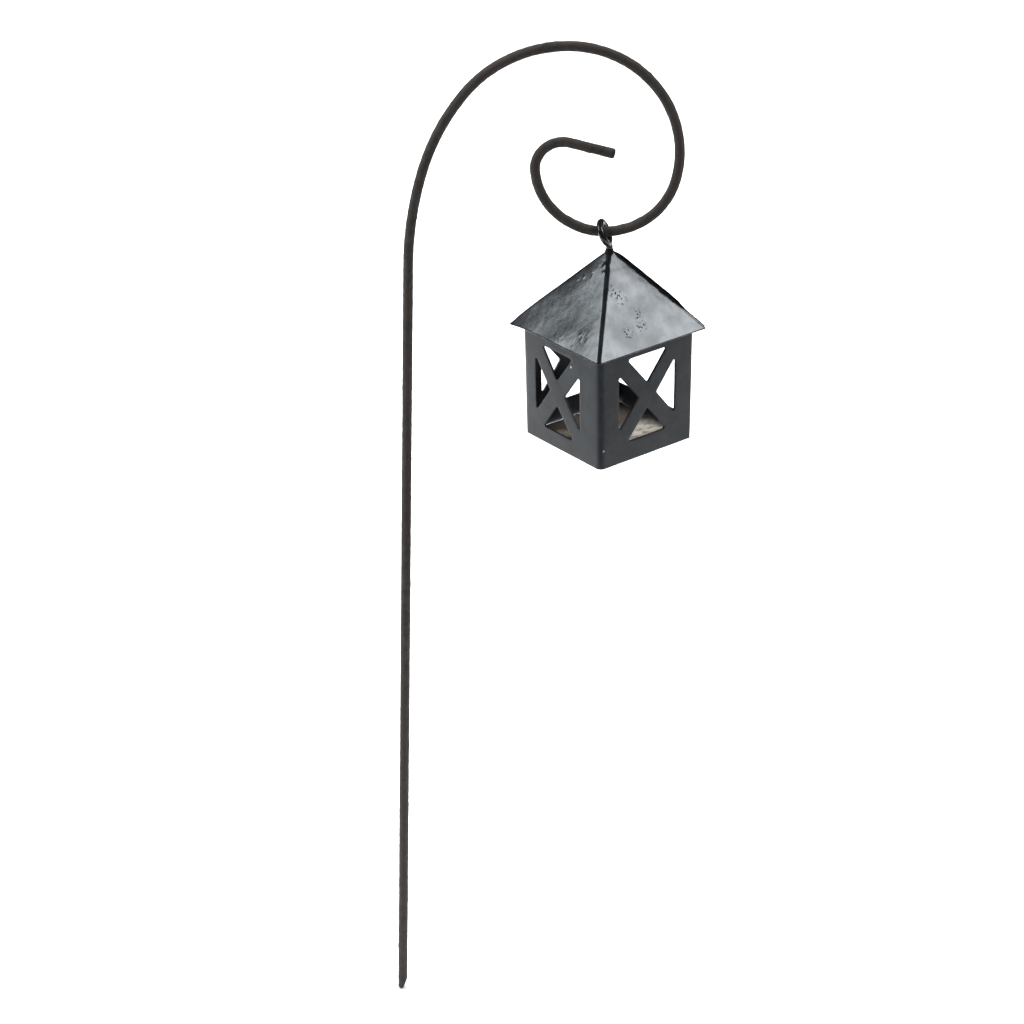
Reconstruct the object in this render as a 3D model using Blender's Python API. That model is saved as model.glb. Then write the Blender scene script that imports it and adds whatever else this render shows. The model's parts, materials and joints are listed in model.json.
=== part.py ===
"""A small sheet-metal lantern that hangs from a bent wire crook pushed into the soil.

Metres, +Z up. The origin is the tip of the stake, and the crook lies in the XZ plane.
"""

import math

import bmesh
import bpy
from mathutils import Matrix, Vector
from mathutils.geometry import delaunay_2d_cdt

# Crook: round wire, a straight stake and then bends of (radius, sweep in degrees), all turning right.
ROD_RADIUS = 0.0010
STAKE_LENGTH = 0.1824
CROOK_BENDS = (
    (0.0780, 15.5),
    (0.0475, 22.0),
    (0.0267, 51.5),
    (0.0229, 104.0),
    (0.0146, 160.0),
    (0.0057, 110.5),
)
FREE_END_LENGTH = 0.0094
STAKE_LEAN = math.radians(2.26)  # the stake leans towards its load
HANG_SHORT = math.radians(0.8)  # the eye rests this far short of the scroll's lowest point
TIP_CUT_START = 0.0001  # the slanted cut starts this far right of the rod's axis
TIP_CUT_ANGLE = math.radians(68.0)
ROD_SIDES = 14
BEND_STEP = math.radians(6.0)
LEAST_BEND_STEPS = 3

# Hanging eye: a ring round the crook's rod, on a short shank through the roof's point.
EYE_WIRE_RADIUS = 0.00072
EYE_RING_RADIUS = 0.00222
EYE_LEAN = math.radians(-17.0)
EYE_YAW = math.radians(-12.0)
EYE_REST_GAP = 0.00024
EYE_STEPS = 32
EYE_SIDES = 12
SHANK_RADIUS = 0.00054
SHANK_DEPTH = 0.0034

# Lantern: its own frame has z = 0 at the eaves, and its pivot is the rod's axis above.
LANTERN_YAW = math.radians(-52.3)
PIVOT_ABOVE_EAVES = 0.0209
SHEET = 0.00045
CLEARANCE = 0.00005
SAME_PLACE = 0.0000001

# Roof: a folded square pyramid.
EAVE_HALF = 0.0148
ROOF_HEIGHT = 0.0173
RIDGE_RADIUS = 0.0007
ROOF_SHOULDER_HALF = 0.0020
ROOF_TOP_HALF = 0.0009
SHANK_HOLE_RADIUS = 0.00065
NEARLY_ROUND = 0.98  # a corner radius of this share of the half side makes a square almost a circle
SEAM_SLIT = 0.0001
RIDGE_STEPS = 4
ROOF_WALL_OFFSET = SHEET * math.hypot(ROOF_HEIGHT, EAVE_HALF) / ROOF_HEIGHT  # the sheet, cut level

# Solder on the roof: a lump round the shank, and a bead over the ridge where the sheet's ends meet.
APEX_SOLDER_RADIUS = 0.0016
APEX_SOLDER_TOP = ROOF_HEIGHT + 0.00012
APEX_SOLDER_LIP = 0.00016
APEX_SOLDER_FLARE = 1.4
APEX_SOLDER_STEPS = 4
APEX_SOLDER_SIDES = 16
APEX_SOLDER_GAP = 0.00012
SEAM_BEAD = 0.00034
SEAM_BEAD_EDGE = 0.00003
SEAM_BEAD_LEG = 0.0006  # how far the bead runs onto each face beside the ridge
SEAM_BEAD_GAP = 0.00006
SEAM_BEAD_STEPS = 10
SEAM_BEAD_LOW_HALF = 0.0143
SEAM_BEAD_HIGH_HALF = 0.0026

# Body: one sheet folded round four walls that draw in a little towards the bottom.
WALL_HALF_TOP = 0.0126
WALL_HALF_BOTTOM = 0.0123
WALL_TOP = 0.0015
WALL_BOTTOM = -0.0253
BEND_RADIUS = 0.0009
BEND_COLUMNS = 5
SEAM_INSET = 0.0004  # the first wall stops this far short of the corner that isn't folded
WINDOW_HALF_WIDTH = 0.00775
WINDOW_HALF_HEIGHT = 0.00935
WINDOW_CENTRE = -0.01145
CORNER_ROUND = 0.0004
CORNER_POINTS = 3
BAR_WIDTH = 0.0036
WINDOW_SHIFTS = (-0.0002, 0.0013, -0.0003)  # how far each patterned wall's X sits off its middle

# Doorway: the fourth wall is cut away between a sill and a header.
DOOR_WALL = 3
DOOR_SILL = -0.0206
DOOR_HEAD = -0.0030
DOOR_BACK_STRIP = 0.0011
DOOR_SEAM_STRIP = 0.0019

# Floor and solder.
FLOOR_GAP = 0.00015
FLOOR_SLIT = 0.00080  # the wider gap along one wall
FLOOR_CLIP = 0.0013
TACK_GAP = 0.00007
TACK_LEG = 0.0017
TACK_CLIP = 0.0008
TACK_BELLY = 0.6  # the wedge's toe, as a share of its leg
TACK_RIM = 0.00015
TACK_HEIGHT = 0.0010
ROOF_TACK_GAP = 0.00008
ROOF_TACK_LENGTH = 0.0030
ROOF_TACK_OFFSET = 0.0070
ROOF_TACK_WIDTH = 0.0014
ROOF_TACK_BOTTOM = -0.0004
SEAM_FILLET = 0.0012
SEAM_FILLET_HOLLOW = 0.42
SEAM_FILLET_GAP = 0.0001
SEAM_FILLET_BOTTOM = WALL_BOTTOM + 0.0030
SEAM_FILLET_TOP = -0.0010

BLACK_PAINT = (0.020, 0.023, 0.027, 1.0)
BARE_SHEET = (0.36, 0.34, 0.30, 1.0)
RUSTY_BLACK = (0.030, 0.026, 0.022, 1.0)
SOLDER_GREY = (0.10, 0.10, 0.11, 1.0)


def clear_scene():
    for obj in list(bpy.data.objects):
        bpy.data.objects.remove(obj, do_unlink=True)


def make_material(name, colour, roughness, metallic):
    material = bpy.data.materials.new(name)
    material.use_nodes = True
    shader = material.node_tree.nodes["Principled BSDF"]
    shader.inputs["Base Color"].default_value = colour
    shader.inputs["Roughness"].default_value = roughness
    shader.inputs["Metallic"].default_value = metallic
    return material


def add_object(name, mesh_builder, material, parent=None):
    """Turns a bmesh into an object with outward faces."""
    bmesh.ops.recalc_face_normals(mesh_builder, faces=mesh_builder.faces)
    mesh = bpy.data.meshes.new(name)
    mesh_builder.to_mesh(mesh)
    mesh_builder.free()
    mesh.materials.append(material)
    obj = bpy.data.objects.new(name, mesh)
    obj.parent = parent
    bpy.context.collection.objects.link(obj)
    return obj


def shade_round(obj, angle):
    obj.data.shade_smooth()
    obj.data.set_sharp_from_angle(angle=math.radians(angle))


def add_empty(name, location, yaw=0.0, parent=None):
    empty = bpy.data.objects.new(name, None)
    empty.location = location
    empty.rotation_euler = (0.0, 0.0, yaw)
    empty.parent = parent
    bpy.context.collection.objects.link(empty)
    return empty


def skin_sections(builder, sections, closed_section=True):
    """Joins equal rows of points with quads, and returns their vertices."""
    rows = []
    for section in sections:
        row = []
        for point in section:
            row.append(builder.verts.new(point))
        rows.append(row)
    count = len(rows[0])
    last = count if closed_section else count - 1
    for low, high in zip(rows, rows[1:]):
        for i in range(last):
            j = (i + 1) % count
            builder.faces.new((low[i], low[j], high[j], high[i]))
    return rows


# --- Crook ---------------------------------------------------------------------------------------


def crook_path():
    """Points and headings along the wire's axis, in the crook's own XZ plane."""
    x, z, heading = 0.0, 0.0, math.pi / 2
    path = [(x, z, heading)]
    z = STAKE_LENGTH
    path.append((x, z, heading))
    for radius, sweep in CROOK_BENDS:
        total = math.radians(sweep)
        steps = max(LEAST_BEND_STEPS, round(total / BEND_STEP))
        centre_x = x + radius * math.sin(heading)
        centre_z = z - radius * math.cos(heading)
        start = heading
        for step in range(1, steps + 1):
            heading = start - total * step / steps
            x = centre_x - radius * math.sin(heading)
            z = centre_z + radius * math.cos(heading)
            path.append((x, z, heading))
    x += FREE_END_LENGTH * math.cos(heading)
    z += FREE_END_LENGTH * math.sin(heading)
    path.append((x, z, heading))
    return path


def hang_point():
    """Where the eye rests, by the lowest point of the leaning scroll's axis, in world coordinates."""
    turn_left = math.radians(270.0) - STAKE_LEAN - HANG_SHORT
    x, z, heading = 0.0, STAKE_LENGTH, math.pi / 2
    for radius, sweep in CROOK_BENDS:
        turn = min(math.radians(sweep), turn_left)
        new_heading = heading - turn
        x += radius * (math.sin(heading) - math.sin(new_heading))
        z += radius * (math.cos(new_heading) - math.cos(heading))
        heading = new_heading
        turn_left -= turn
        if turn_left <= 0.0:
            break
    lean_cos = math.cos(STAKE_LEAN)
    lean_sin = math.sin(STAKE_LEAN)
    return Vector((x * lean_cos + z * lean_sin, 0.0, z * lean_cos - x * lean_sin))


def rod_section(x, z, heading):
    """A ring of points round the wire's axis, square to its heading."""
    across_x = math.sin(heading)
    across_z = -math.cos(heading)
    ring = []
    for i in range(ROD_SIDES):
        angle = math.tau * i / ROD_SIDES
        side = ROD_RADIUS * math.cos(angle)
        ring.append((x + across_x * side, ROD_RADIUS * math.sin(angle), z + across_z * side))
    return ring


def build_crook(material):
    builder = bmesh.new()
    rows = skin_sections(builder, [rod_section(*point) for point in crook_path()])
    builder.faces.new(rows[0])
    builder.faces.new(rows[-1])
    cut_normal = (math.sin(TIP_CUT_ANGLE), 0.0, -math.cos(TIP_CUT_ANGLE))
    cut = bmesh.ops.bisect_plane(
        builder,
        geom=builder.verts[:] + builder.edges[:] + builder.faces[:],
        plane_co=(TIP_CUT_START, 0.0, 0.0),
        plane_no=cut_normal,
        clear_outer=True,
        dist=SAME_PLACE,
    )
    rim = [item for item in cut["geom_cut"] if isinstance(item, bmesh.types.BMEdge)]
    bmesh.ops.edgeloop_fill(builder, edges=rim)
    crook = add_object("crook_stake", builder, material)
    crook.rotation_euler = (0.0, STAKE_LEAN, 0.0)
    shade_round(crook, 40.0)


# --- Hanging eye ---------------------------------------------------------------------------------


def eye_ring_centre():
    """Centre of the ring in the lantern's pivot frame: its inside rests on top of the rod."""
    inner = EYE_RING_RADIUS - EYE_WIRE_RADIUS
    drop = ROD_RADIUS + EYE_REST_GAP - inner
    return Vector((EYE_RING_RADIUS * math.sin(EYE_LEAN), 0.0, drop))


def eye_point(around, section):
    """A point on the ring's skin, leaning and turned about the ring's own centre."""
    reach = EYE_RING_RADIUS + EYE_WIRE_RADIUS * math.cos(section)
    side = EYE_WIRE_RADIUS * math.sin(section)
    point = Vector((side, reach * math.sin(around), -reach * math.cos(around)))
    return Matrix.Rotation(EYE_LEAN, 3, "Y") @ Matrix.Rotation(EYE_YAW, 3, "Z") @ point


def build_eye(material, pivot):
    builder = bmesh.new()
    centre = eye_ring_centre()
    sections = []
    for i in range(EYE_STEPS + 1):
        around = math.tau * (i % EYE_STEPS) / EYE_STEPS
        ring = [centre + eye_point(around, math.tau * j / EYE_SIDES) for j in range(EYE_SIDES)]
        sections.append(ring)
    skin_sections(builder, sections)
    bmesh.ops.remove_doubles(builder, verts=builder.verts, dist=SAME_PLACE)
    eye = add_object("hanging_eye", builder, material, pivot)

    shank_top = centre.z - EYE_RING_RADIUS
    shank = bmesh.new()
    shank_base = -(PIVOT_ABOVE_EAVES - ROOF_HEIGHT) - SHANK_DEPTH
    rows = skin_sections(shank, [circle(SHANK_RADIUS, EYE_SIDES, z) for z in (shank_base, shank_top)])
    shank.faces.new(rows[0])
    shank.faces.new(rows[-1])
    guide = add_object("shank_guide", shank, material, pivot)
    guide.hide_render = True
    guide.display_type = "WIRE"
    join = eye.modifiers.new("join_shank", "BOOLEAN")
    join.operation = "UNION"
    join.solver = "EXACT"
    join.object = guide
    shade_round(eye, 50.0)


def circle(radius, count, z, centre=(0.0, 0.0)):
    ring = []
    for i in range(count):
        angle = math.tau * i / count
        ring.append((centre[0] + radius * math.cos(angle), centre[1] + radius * math.sin(angle), z))
    return ring


# --- Roof ----------------------------------------------------------------------------------------


def roof_level(half):
    """Height of the roof's outer face where its half side is this wide."""
    return ROOF_HEIGHT * (1.0 - half / EAVE_HALF)


def ridge_level(reach):
    """Height of the ridges' crests at this distance from the axis."""
    half = (reach + (math.sqrt(2.0) - 1.0) * RIDGE_RADIUS) / math.sqrt(2.0)
    return roof_level(half)


def square_outline(half, radius, slit):
    """Points round a square with round corners, open by a slit at the corner on +X +Y."""
    points = []
    corners = ((1, 1), (-1, 1), (-1, -1), (1, -1), (1, 1))
    slit_angle = 0.5 * slit / radius
    for index, (sx, sy) in enumerate(corners):
        first = index * math.pi / 2
        last = first + math.pi / 2
        if index == 0:
            first = math.pi / 4 + slit_angle
        if index == len(corners) - 1:
            last = first + math.pi / 4 - slit_angle
        for step in range(RIDGE_STEPS + 1):
            angle = first + (last - first) * step / RIDGE_STEPS
            x = sx * (half - radius) + radius * math.cos(angle)
            y = sy * (half - radius) + radius * math.sin(angle)
            points.append((x, y))
    return points


def roof_section(half, radius, z):
    return [(x, y, z) for x, y in square_outline(half, radius, SEAM_SLIT)]


def build_roof(material, lantern):
    builder = bmesh.new()
    slim = RIDGE_RADIUS - ROOF_WALL_OFFSET
    top = roof_level(ROOF_TOP_HALF)
    shoulder = roof_level(ROOF_SHOULDER_HALF)
    outer = [
        roof_section(EAVE_HALF, RIDGE_RADIUS, 0.0),
        roof_section(ROOF_SHOULDER_HALF, RIDGE_RADIUS, shoulder),
        roof_section(ROOF_TOP_HALF, NEARLY_ROUND * ROOF_TOP_HALF, top),
    ]
    inner = [
        roof_section(SHANK_HOLE_RADIUS, NEARLY_ROUND * SHANK_HOLE_RADIUS, top),
        roof_section(ROOF_SHOULDER_HALF - ROOF_WALL_OFFSET, slim, shoulder),
        roof_section(EAVE_HALF - ROOF_WALL_OFFSET, slim, 0.0),
    ]
    rows = skin_sections(builder, outer + inner, closed_section=False)
    count = len(rows[0])
    for i in range(count - 1):
        builder.faces.new((rows[-1][i], rows[-1][i + 1], rows[0][i + 1], rows[0][i]))
    for end in (0, count - 1):
        builder.faces.new([row[end] for row in rows])
    roof = add_object("roof_shell", builder, material, lantern)
    shade_round(roof, 25.0)


def build_apex_solder(material, lantern):
    """A lump that fills the corner between the shank and the roof's point."""
    builder = bmesh.new()
    bore = SHANK_RADIUS + CLEARANCE
    lip = bore + APEX_SOLDER_LIP
    base = ridge_level(APEX_SOLDER_RADIUS) + APEX_SOLDER_GAP
    profile = [(bore, APEX_SOLDER_TOP)]
    for step in range(APEX_SOLDER_STEPS + 1):
        share = step / APEX_SOLDER_STEPS
        radius = lip + (APEX_SOLDER_RADIUS - lip) * share**APEX_SOLDER_FLARE
        profile.append((radius, APEX_SOLDER_TOP + (base - APEX_SOLDER_TOP) * share))
    profile.append((bore, roof_level(bore) + APEX_SOLDER_GAP))
    sections = [circle(radius, APEX_SOLDER_SIDES, z) for radius, z in profile]
    skin_sections(builder, sections + sections[:1])
    bmesh.ops.remove_doubles(builder, verts=builder.verts, dist=SAME_PLACE)
    solder = add_object("apex_solder", builder, material, lantern)
    shade_round(solder, 40.0)


def ridge_point(half, travelled, lift):
    """A point this far across the seam ridge, from one face round to the other, lifted off the sheet."""
    arc = 0.5 * math.pi * RIDGE_RADIUS
    centre = half - RIDGE_RADIUS
    reach = RIDGE_RADIUS + lift
    past = travelled - SEAM_BEAD_LEG
    if past < 0.0:
        return (centre + reach, centre + past, roof_level(half))
    if past > arc:
        return (centre + arc - past, centre + reach, roof_level(half))
    angle = past / RIDGE_RADIUS
    return (centre + reach * math.cos(angle), centre + reach * math.sin(angle), roof_level(half))


def build_roof_seam(material, lantern):
    """A flat bead of solder over the ridge where the sheet's ends meet."""
    builder = bmesh.new()
    span = 2.0 * SEAM_BEAD_LEG + 0.5 * math.pi * RIDGE_RADIUS
    middle = 0.5 * (SEAM_BEAD_LOW_HALF + SEAM_BEAD_HIGH_HALF)
    sections = []
    for half in (SEAM_BEAD_LOW_HALF, middle, SEAM_BEAD_HIGH_HALF):
        under = []
        over = []
        for step in range(SEAM_BEAD_STEPS + 1):
            share = step / SEAM_BEAD_STEPS
            crown = SEAM_BEAD_EDGE + SEAM_BEAD * math.sin(math.pi * share)
            under.append(ridge_point(half, span * share, SEAM_BEAD_GAP))
            over.append(ridge_point(half, span * share, SEAM_BEAD_GAP + crown))
        sections.append(under + over[::-1])
    rows = skin_sections(builder, sections)
    builder.faces.new(rows[0])
    builder.faces.new(rows[-1])
    bead = add_object("roof_seam_solder", builder, material, lantern)
    shade_round(bead, 40.0)


# --- Body ----------------------------------------------------------------------------------------


def rounded_polygon(corners, radius):
    """A convex polygon's outline with each corner replaced by a short arc."""
    outline = []
    count = len(corners)
    for i in range(count):
        corner = Vector(corners[i])
        before = (Vector(corners[i - 1]) - corner).normalized()
        after = (Vector(corners[(i + 1) % count]) - corner).normalized()
        half_angle = 0.5 * before.angle(after)
        reach = radius / math.tan(half_angle)
        centre = corner + (before + after).normalized() * (radius / math.sin(half_angle))
        start = corner + before * reach - centre
        sweep = start.angle_signed(corner + after * reach - centre)
        for step in range(CORNER_POINTS + 1):
            angle = -sweep * step / CORNER_POINTS
            x = start.x * math.cos(angle) - start.y * math.sin(angle)
            y = start.x * math.sin(angle) + start.y * math.cos(angle)
            outline.append((centre.x + x, centre.y + y))
    return outline


def window_outlines(middle):
    """The four windows that leave an X between the corners of one wall."""
    slope = math.atan2(WINDOW_HALF_WIDTH, WINDOW_HALF_HEIGHT)
    across = 0.5 * BAR_WIDTH / math.cos(slope)
    along = 0.5 * BAR_WIDTH / math.sin(slope)
    wide, high = WINDOW_HALF_WIDTH, WINDOW_HALF_HEIGHT
    shapes = (
        ((0.0, along), (wide - across, high), (across - wide, high)),
        ((0.0, -along), (across - wide, -high), (wide - across, -high)),
        ((across, 0.0), (wide, along - high), (wide, high - along)),
        ((-across, 0.0), (-wide, high - along), (-wide, along - high)),
    )
    outlines = []
    for shape in shapes:
        corners = [(middle + x, WINDOW_CENTRE + z) for x, z in shape]
        outlines.append(rounded_polygon(corners, CORNER_ROUND))
    return outlines


def door_outline(middle):
    """The doorway in the last wall, between the back corner and the seam."""
    back = middle - WALL_HALF_TOP + DOOR_BACK_STRIP
    seam = middle + WALL_HALF_TOP - DOOR_SEAM_STRIP
    corners = ((back, DOOR_SILL), (seam, DOOR_SILL), (seam, DOOR_HEAD), (back, DOOR_HEAD))
    return rounded_polygon(corners, CORNER_ROUND)


def blank_stations():
    """Stretches of the flat blank: (kind, wall or corner number, length), from seam to seam."""
    side = 2.0 * WALL_HALF_TOP
    bend = 0.5 * math.pi * BEND_RADIUS
    first = side - SEAM_INSET - BEND_RADIUS
    middle = side - 2.0 * BEND_RADIUS
    last = side - BEND_RADIUS - SHEET - 2.0 * CLEARANCE
    stretches = [("flat", 0, first)]
    for number, length in ((1, middle), (2, middle), (3, last)):
        stretches.append(("bend", number, bend))
        stretches.append(("flat", number, length))
    return stretches


def flat_lead(number):
    """How far past its corner a wall's flat stretch begins."""
    return SEAM_INSET if number == 0 else BEND_RADIUS


def fold(u, z, depth):
    """Takes a point of the flat blank to its place on the folded walls."""
    start = 0.0
    for kind, number, length in blank_stations():
        travelled = u - start
        quarter = number
        if travelled <= length + SAME_PLACE:
            break
        start += length
    half = WALL_HALF_TOP
    if kind == "flat":
        lead = flat_lead(quarter)
        x = half - depth
        y = half - lead - travelled
    else:
        angle = travelled / BEND_RADIUS
        quarter -= 1
        reach = BEND_RADIUS - depth
        x = half - BEND_RADIUS + reach * math.cos(angle)
        y = -half + BEND_RADIUS - reach * math.sin(angle)
    for _ in range(quarter):
        x, y = y, -x
    drawn_in = (WALL_TOP - z) / (WALL_TOP - WALL_BOTTOM)
    scale = 1.0 - (1.0 - WALL_HALF_BOTTOM / WALL_HALF_TOP) * drawn_in
    return Vector((x * scale, y * scale, z))


def wall_middles():
    """Distance along the blank of each wall's middle."""
    middles = []
    start = 0.0
    for kind, number, length in blank_stations():
        if kind == "flat":
            middles.append(start + WALL_HALF_TOP - flat_lead(number))
        start += length
    return middles


def bend_lines():
    """Distances along the blank where it needs a line of points to bend."""
    lines = []
    start = 0.0
    for kind, _number, length in blank_stations():
        if kind == "bend":
            for step in range(BEND_COLUMNS + 1):
                lines.append(start + length * step / BEND_COLUMNS)
        start += length
    return lines, start


def inside_convex(point, outline):
    """Whether a point is inside a convex outline, whichever way round it runs."""
    signs = set()
    for i, corner in enumerate(outline):
        side = Vector(outline[(i + 1) % len(outline)]) - Vector(corner)
        signs.add(side.cross(point - Vector(corner)) > 0.0)
    return len(signs) == 1


def flat_blank(openings):
    """Triangles of the blank in the plane, openings left out."""
    lines, width = bend_lines()
    columns = [0.0] + lines + [width]
    points = []
    edges = []
    for u in columns:
        points.append(Vector((u, WALL_BOTTOM)))
        points.append(Vector((u, WALL_TOP)))
        edges.append((len(points) - 2, len(points) - 1))
    for outline in openings:
        first = len(points)
        for i, corner in enumerate(outline):
            points.append(Vector(corner))
            edges.append((first + i, first + (i + 1) % len(outline)))
    verts, _edges, faces, _v, _e, _f = delaunay_2d_cdt(points, edges, [], 0, 0.1 * SAME_PLACE)
    kept = []
    for face in faces:
        centre = sum((verts[i] for i in face), Vector((0.0, 0.0))) / len(face)
        if not any(inside_convex(centre, outline) for outline in openings):
            kept.append(face)
    return verts, kept


def build_body(material, lantern):
    middles = wall_middles()
    openings = [door_outline(middles[DOOR_WALL])]
    for middle, shift in zip(middles, WINDOW_SHIFTS):
        openings.extend(window_outlines(middle + shift))
    flat_points, triangles = flat_blank(openings)
    builder = bmesh.new()
    outer = [builder.verts.new(fold(p.x, p.y, 0.0)) for p in flat_points]
    inner = [builder.verts.new(fold(p.x, p.y, SHEET)) for p in flat_points]
    uses = {}
    for a, b, c in triangles:
        builder.faces.new((outer[a], outer[b], outer[c]))
        builder.faces.new((inner[c], inner[b], inner[a]))
        for edge in ((a, b), (b, c), (c, a)):
            uses[edge] = uses.get(edge, 0) + 1
    for a, b in uses:
        if (b, a) not in uses:
            builder.faces.new((outer[b], outer[a], inner[a], inner[b]))
    body = add_object("body_wrap", builder, material, lantern)
    shade_round(body, 30.0)


def wall_inside(z):
    """Distance from the lantern's axis to a wall's inner face at height z."""
    drawn_in = (WALL_TOP - z) / (WALL_TOP - WALL_BOTTOM)
    scale = 1.0 - (1.0 - WALL_HALF_BOTTOM / WALL_HALF_TOP) * drawn_in
    return (WALL_HALF_TOP - SHEET) * scale


def build_body_seam(material, lantern):
    """A fillet of solder down the inside of the corner that isn't folded."""
    builder = bmesh.new()
    sections = []
    for z in (SEAM_FILLET_BOTTOM, SEAM_FILLET_TOP):
        corner = wall_inside(z) - SEAM_FILLET_GAP
        middle = corner - SEAM_FILLET_HOLLOW * SEAM_FILLET
        far = corner - SEAM_FILLET
        sections.append([(corner, corner, z), (far, corner, z), (middle, middle, z), (corner, far, z)])
    rows = skin_sections(builder, sections)
    builder.faces.new(rows[0])
    builder.faces.new(rows[-1])
    add_object("body_seam_solder", builder, material, lantern)


# --- Floor ---------------------------------------------------------------------------------------


def floor_top():
    return WALL_BOTTOM + SHEET + CLEARANCE


def build_floor(material, lantern):
    builder = bmesh.new()
    inside = wall_inside(WALL_BOTTOM)
    near = inside - FLOOR_GAP
    slit = -(inside - FLOOR_SLIT)
    outline = [
        (near, near - FLOOR_CLIP),
        (near - FLOOR_CLIP, near),
        (slit + FLOOR_CLIP, near),
        (slit, near - FLOOR_CLIP),
        (slit, FLOOR_CLIP - near),
        (slit + FLOOR_CLIP, -near),
        (near - FLOOR_CLIP, -near),
        (near, FLOOR_CLIP - near),
    ]
    low = [(x, y, WALL_BOTTOM + CLEARANCE) for x, y in outline]
    high = [(x, y, floor_top()) for x, y in outline]
    rows = skin_sections(builder, [low, high])
    builder.faces.new(rows[0])
    builder.faces.new(rows[-1])
    add_object("floor_plate", builder, material, lantern)


def build_floor_tack(name, sx, sy, material, lantern):
    """A wedge of solder in one corner of the floor."""
    builder = bmesh.new()
    base = floor_top() + CLEARANCE
    corner = wall_inside(base) - TACK_GAP
    toe = TACK_BELLY * TACK_LEG
    footprint = (
        (0.0, TACK_LEG, TACK_RIM),
        (0.0, TACK_CLIP, TACK_HEIGHT),
        (TACK_CLIP, 0.0, TACK_HEIGHT),
        (TACK_LEG, 0.0, TACK_RIM),
        (toe, toe, TACK_RIM),
    )
    low = [(sx * (corner - p), sy * (corner - q), base) for p, q, _rise in footprint]
    high = [(sx * (corner - p), sy * (corner - q), base + rise) for p, q, rise in footprint]
    rows = skin_sections(builder, [low, high])
    builder.faces.new(rows[0])
    top = rows[-1]
    builder.faces.new((top[0], top[1], top[4]))
    builder.faces.new((top[1], top[2], top[4]))
    builder.faces.new((top[2], top[3], top[4]))
    add_object(name, builder, material, lantern)


def build_roof_tack(name, quarter, material, lantern):
    """A short prism of solder between a wall's inner face and the roof's underside."""
    builder = bmesh.new()
    out = WALL_HALF_TOP - SHEET - ROOF_TACK_GAP
    back = out - ROOF_TACK_WIDTH
    section = (
        (out, ROOF_TACK_BOTTOM),
        (out, roof_level(out + ROOF_WALL_OFFSET) - ROOF_TACK_GAP),
        (back, roof_level(back + ROOF_WALL_OFFSET) - ROOF_TACK_GAP),
    )
    ends = []
    for along in (ROOF_TACK_OFFSET, ROOF_TACK_OFFSET + ROOF_TACK_LENGTH):
        row = []
        for reach, z in section:
            x, y = reach, along
            for _ in range(quarter):
                x, y = y, -x
            row.append((x, y, z))
        ends.append(row)
    rows = skin_sections(builder, ends)
    builder.faces.new(rows[0])
    builder.faces.new(rows[-1])
    add_object(name, builder, material, lantern)


def main():
    clear_scene()
    paint = make_material("black_enamel", BLACK_PAINT, 0.30, 0.0)
    rod = make_material("rusted_black_rod", RUSTY_BLACK, 0.75, 0.0)
    bare = make_material("bare_sheet", BARE_SHEET, 0.45, 0.9)
    solder = make_material("painted_solder", SOLDER_GREY, 0.45, 0.3)

    build_crook(rod)
    pivot = add_empty("lantern_pivot", hang_point())
    lantern = add_empty("lantern_frame", (0.0, 0.0, -PIVOT_ABOVE_EAVES), LANTERN_YAW, pivot)
    build_eye(paint, pivot)
    build_apex_solder(paint, lantern)
    build_roof(paint, lantern)
    build_roof_seam(paint, lantern)
    build_body(paint, lantern)
    build_body_seam(solder, lantern)
    build_floor(bare, lantern)
    corners = {"right": (1, 1), "front": (1, -1), "left": (-1, -1), "back": (-1, 1)}
    for quarter, (side, (sx, sy)) in enumerate(corners.items()):
        build_floor_tack(f"floor_tack_{side}", sx, sy, solder, lantern)
        build_roof_tack(f"roof_tack_{side}", quarter, solder, lantern)


main()
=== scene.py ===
"""The finish of a small black lantern that hangs from a bent wire crook.

Every piece is built here as a fine mesh in the place its CAD node holds, and rides on that node's body.
Metres, +Z up, in the frame's own axes.
"""

import json
import math

import bmesh
import bpy
import numpy as np
from mathutils import Matrix, Vector, noise
from mathutils.geometry import delaunay_2d_cdt


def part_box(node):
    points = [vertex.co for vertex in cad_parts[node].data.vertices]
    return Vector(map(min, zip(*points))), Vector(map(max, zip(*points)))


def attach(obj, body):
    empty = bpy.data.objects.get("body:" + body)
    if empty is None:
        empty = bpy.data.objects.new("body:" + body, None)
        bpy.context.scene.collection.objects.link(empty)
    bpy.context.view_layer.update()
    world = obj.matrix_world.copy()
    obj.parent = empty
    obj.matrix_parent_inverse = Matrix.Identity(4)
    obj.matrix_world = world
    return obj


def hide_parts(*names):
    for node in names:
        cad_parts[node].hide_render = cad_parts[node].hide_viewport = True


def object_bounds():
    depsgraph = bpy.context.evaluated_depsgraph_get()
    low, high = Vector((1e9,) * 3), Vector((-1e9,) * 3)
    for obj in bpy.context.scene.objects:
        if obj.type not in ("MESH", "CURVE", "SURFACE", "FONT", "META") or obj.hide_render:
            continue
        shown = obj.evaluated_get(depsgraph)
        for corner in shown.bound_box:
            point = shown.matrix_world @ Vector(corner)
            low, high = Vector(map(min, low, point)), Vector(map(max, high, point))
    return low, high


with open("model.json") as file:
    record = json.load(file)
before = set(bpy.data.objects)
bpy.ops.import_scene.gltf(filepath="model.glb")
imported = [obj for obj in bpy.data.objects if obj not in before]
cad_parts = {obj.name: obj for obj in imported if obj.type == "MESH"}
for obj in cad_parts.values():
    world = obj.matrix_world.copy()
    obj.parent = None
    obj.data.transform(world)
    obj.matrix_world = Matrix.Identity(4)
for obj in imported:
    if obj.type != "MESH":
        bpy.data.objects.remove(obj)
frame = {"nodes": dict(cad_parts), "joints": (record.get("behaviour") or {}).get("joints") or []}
cad_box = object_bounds()

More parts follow.
